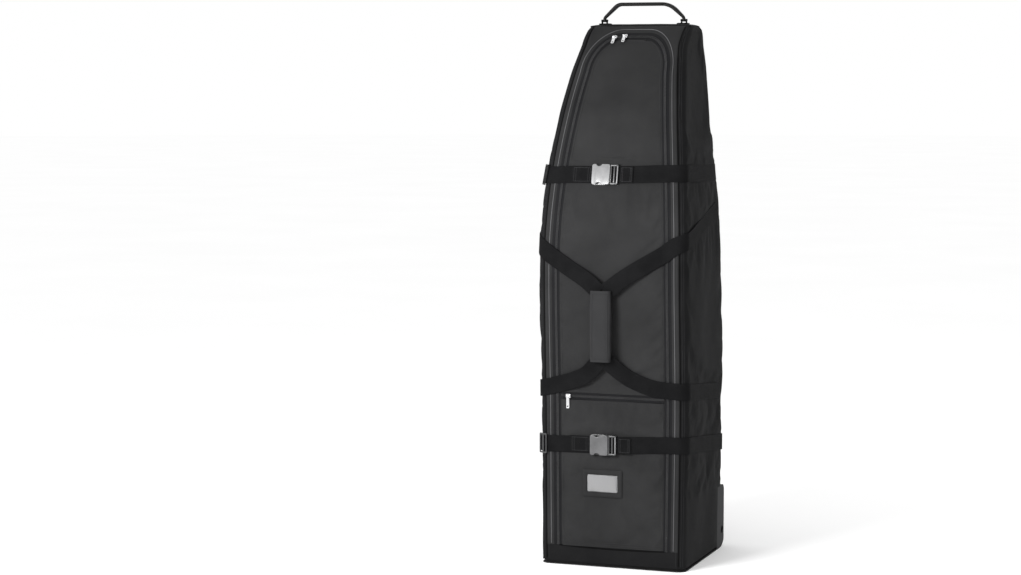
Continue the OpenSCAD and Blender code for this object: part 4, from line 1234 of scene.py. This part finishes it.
insets = np.array([9.8, 9.2, 7.0, 5.0, 3.0, 0.8, 0.2])
loops = np.stack([frame_loop(i, 3 + i * 0.1) for i in insets])
rise = np.array([0.6, 1.5, 2.1, 2.2, 2.1, 1.5, 0.6])[:, None]
frame_uv = loops + [ID_X, ID_Z]
id_ring = panel("id_window_frame", frame_uv[..., 0], frame_uv[..., 1], 0.6 + rise, 1.2, FRONT)
ride(id_ring, "bag", ["id_frame"])
id_rows = [stitch_line("line", frame_loop(i, 3) + [ID_X, ID_Z], 2.8, 3.6) for i in (2.4, 8.2)]
ride(merge("id_frame_stitching", id_rows), "bag")
x, y = ID_W / 2 - 8.5, ID_H / 2 - 9
u, z = lattice(ID_X - x, ID_X + x, ID_Z - y, ID_Z + y, 40, 26)
vinyl_lift = 1.4 + 1.0 * border_fade(40, 26, 8, 8) + ripple(u, z, 45, 0.18, 97)
ride(panel("id_window_vinyl", u, z, vinyl_lift, 0.5, VINYL), "bag", ["id_window"])
u, z = lattice(lambda z: ID_X - x + 3 + 0 * z, lambda z: ID_X + x - 5 - 0.12 * (z - ID_Z + y), ID_Z - y + 2,
               ID_Z + y - 3, 20, 14)
ride(panel("id_blank_card", u, z, 1.0, 0.4, CARD), "bag", ["id_card"])


# ---- CAD pieces that show as they are ----
def dress(name, material, bevel=0.5, segments=2, angle=32):
    """Material, softened edges and smooth shading on a CAD node."""
    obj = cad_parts[name]
    obj.data.materials.clear()
    obj.data.materials.append(material)
    obj.data.polygons.foreach_set("use_smooth", [True] * len(obj.data.polygons))
    weld = obj.modifiers.new("weld", "WELD")
    weld.merge_threshold = 0.00002
    if bevel:
        round_over = obj.modifiers.new("bevel", "BEVEL")
        round_over.width = bevel * MM
        round_over.segments = segments
        round_over.limit_method = "ANGLE"
        round_over.angle_limit = math.radians(angle)
    even = obj.modifiers.new("even", "WEIGHTED_NORMAL")
    even.keep_sharp = True
    return obj


FEMALE_L = 42.0
NOTCH_X, NOTCH_R = 16.0, 6.5


def notched_plate(x0, x1, half_h, r):
    """Outline of the buckle's face: a rounded plate with a finger notch in its upper and lower edge."""
    arc = np.linspace(0, np.pi, 13)
    points = rounded_outline(x0, x1, -half_h, half_h, r, 4)
    upper = [(NOTCH_X + NOTCH_R * math.cos(a), half_h - NOTCH_R * 0.72 * math.sin(a)) for a in arc]
    lower = [(NOTCH_X - NOTCH_R * math.cos(a), -half_h + NOTCH_R * 0.72 * math.sin(a)) for a in arc]
    return points[:10] + upper + points[10:] + lower


def buckle_pieces(word, height):
    """The two halves of a side-release buckle, in local millimetres from its left end."""
    h = BUCKLE_H / 2
    at = spot(BUCKLE_X, height, 0.8) @ Matrix.Translation((-BUCKLE_L / 2 * MM, 0, 0))
    # Painted reflection: the upper buckle's face is light and the lower one's dimmer, for the softbox's
    # reflection.
    plate = PLATE_PAINTED_REFLECTION if word == "upper" else PLATE_LOW_PAINTED_REFLECTION
    face_outline = notched_plate(0, FEMALE_L, h, 4.5)
    face = joined(word + "_buckle_face", [prism(face_outline, 9.4, 12.0, 0.9, 3)], plate)
    body = [
        prism(rounded_outline(0, FEMALE_L, -h, h, 4.5), 0, 2.6, 0.8, 2),
        block((1.6, 0, 6), (3.2, 2 * h - 6, 11), 0.8),
        block((9.5, 0, 6), (6, 2 * h - 3, 9), 0.8),
        block((36, h - 2.4, 6), (12, 4.4, 9), 0.8),
        block((36, -h + 2.4, 6), (12, 4.4, 9), 0.8),
    ]
    shell = joined(word + "_buckle_shell", body, BUCKLE)
    male = [block((x, 0, z), (w, 2 * h - 1, t), 1.2, 3) for x, w, z, t in
            ((44.2, 3.4, 6, 9), (51.6, 4.2, 5.6, 8), (59.0, 3.6, 6.4, 9.6))]
    male += [block((51.6, y, 6), (18, 4.6, 9.4), 1.6, 3) for y in (-h + 2.4, h - 2.4)]
    male.append(block((29, 0, 6.2), (27, 8, 3), 0.8))
    clip = joined(word + "_buckle_clip", male, BUCKLE)
    # The clip's edge bar takes the light plate colour as a painted highlight.
    edge = block((59.6, 0, 10.6), (2.6, 2 * h - 7, 2.0), 0.8, 3)
    rim_bar = joined(word + "_buckle_clip_edge", [edge], PLATE_PAINTED_REFLECTION)
    prongs = []
    for y in (-1, 1):
        arm = [(27, 10), (42.5, 10), (42.5, 14), (28, 14.5), (28, 20.6), (19, 20.6), (15, 12.5)]
        arm = [(x, y * v) for x, v in arm]
        prongs.append(prism(arm if y > 0 else arm[::-1], 4.0, 8.8, 0.7, 2))
    arms = joined(word + "_buckle_arms", prongs, BUCKLE)
    for piece in (face, shell, clip, rim_bar, arms):
        smooth(placed(piece, at), 45)
    ride(face, "bag")
    ride(shell, "bag", [word + "_buckle_female"])
    ride(clip, word + "_clip", [word + "_buckle_male"])
    ride(rim_bar, word + "_clip")
    ride(arms, word + "_clip", [word + "_buckle_prongs"])


for word, height in (("upper", UPPER_STRAP_Z), ("lower", LOWER_STRAP_Z)):
    buckle_pieces(word, height)
for word in ("left", "right"):
    dress("wheel_housing_" + word, HOUSING, 1.3, 3, 28)
    dress("wheel_axle_" + word, STEEL, 0.5)
    dress("wheel_tyre_" + word, TYRE, 0)
    dress("wheel_hub_" + word, HUB, 0.5)
    dress("wheel_bearings_" + word, STEEL, 0.4)
    dress("zip_slider_" + word, NICKEL, 0.5)
    dress("zip_pull_" + word, NICKEL, 0.4)
dress("pocket_slider", NICKEL, 0.5)
dress("pocket_pull", NICKEL, 0.4)
dress("upper_tri_glide", HANDLE, 0.7)
dress("lower_ladder_bar", BUCKLE, 0.7)
dress("bottom_panel", BOARD, 0.4)
dress("base_board", BOARD, 0.4)
dress("housing_screws", STEEL, 0.3)

# Woven mesh behind the slots of the wheel guards
GUARD_R, CHEEK = 62.0, 3.0
housing_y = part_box("wheel_housing_right")[1].y / MM
for sign, word in ((1, "right"), (-1, "left")):
    angle = np.radians(np.linspace(11, -85, 41))[:, None]
    x = (np.linspace(151, 160, 7) if sign > 0 else np.linspace(-160, -151, 7))[None, :]
    r = GUARD_R - CHEEK - 0.3
    points = np.broadcast_arrays(x, housing_y - GUARD_R + r * np.cos(angle), GUARD_R + r * np.sin(angle))
    uv = pair(x, angle * r)[:, ::-1]
    insert = sheet_mesh("guard_mesh_" + word, np.stack(points, -1)[:, ::-1], 0.6, uv, MESH)
    ride(insert, "bag")

# ---- studio ----
floor = bpy.data.meshes.new("floor")
ring_count, reach = 64, 40.0
turns = np.linspace(0, 2 * math.pi, ring_count + 1)[:-1]
edge = [(reach * math.cos(a), reach * math.sin(a), 0) for a in turns]
floor.from_pydata(edge, [], [tuple(range(ring_count))])
pale = surface("pale_floor", (0.98, 0.98, 0.98), (1.0, 1.0, 1.0), 0.9, 1.0, specular=0.0)[0]
link(floor, "floor", pale)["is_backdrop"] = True

world = bpy.data.worlds.new("studio")
bpy.context.scene.world = world
world.use_nodes = True
world.node_tree.nodes["Background"].inputs["Color"].default_value = (1, 1, 1, 1)
world.node_tree.nodes["Background"].inputs["Strength"].default_value = 1.0
bpy.context.scene.view_settings.view_transform = "Standard"


def softbox(name, place, target, width, height, power):
    light = bpy.data.lights.new(name, "AREA")
    light.shape, light.size, light.size_y, light.energy = "RECTANGLE", width, height, power
    obj = bpy.data.objects.new(name, light)
    bpy.context.scene.collection.objects.link(obj)
    obj.location = place
    obj.rotation_euler = (Vector(target) - Vector(place)).to_track_quat("-Z", "Y").to_euler()


softbox("key", (-0.5, -1.35, 0.95), (0, 0, 0.70), 0.5, 0.5, 24)
softbox("rim", (3.4, 1.6, 1.6), (0, 0, 1.0), 0.4, 1.4, 5)
softbox("top", (0.2, -1.2, 3.2), (0, 0, 1.1), 1.2, 1.2, 6)

camera = bpy.data.cameras.new("camera")
camera.lens, camera.sensor_width = 83.5, 36.0
camera_obj = bpy.data.objects.new("camera", camera)
bpy.context.scene.collection.objects.link(camera_obj)
camera_obj.location = (1.6013, -5.2091, 1.111)
camera_obj.rotation_euler = (math.radians(84.90), 0, math.radians(20.07))
bpy.context.scene.camera = camera_obj

low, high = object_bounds()
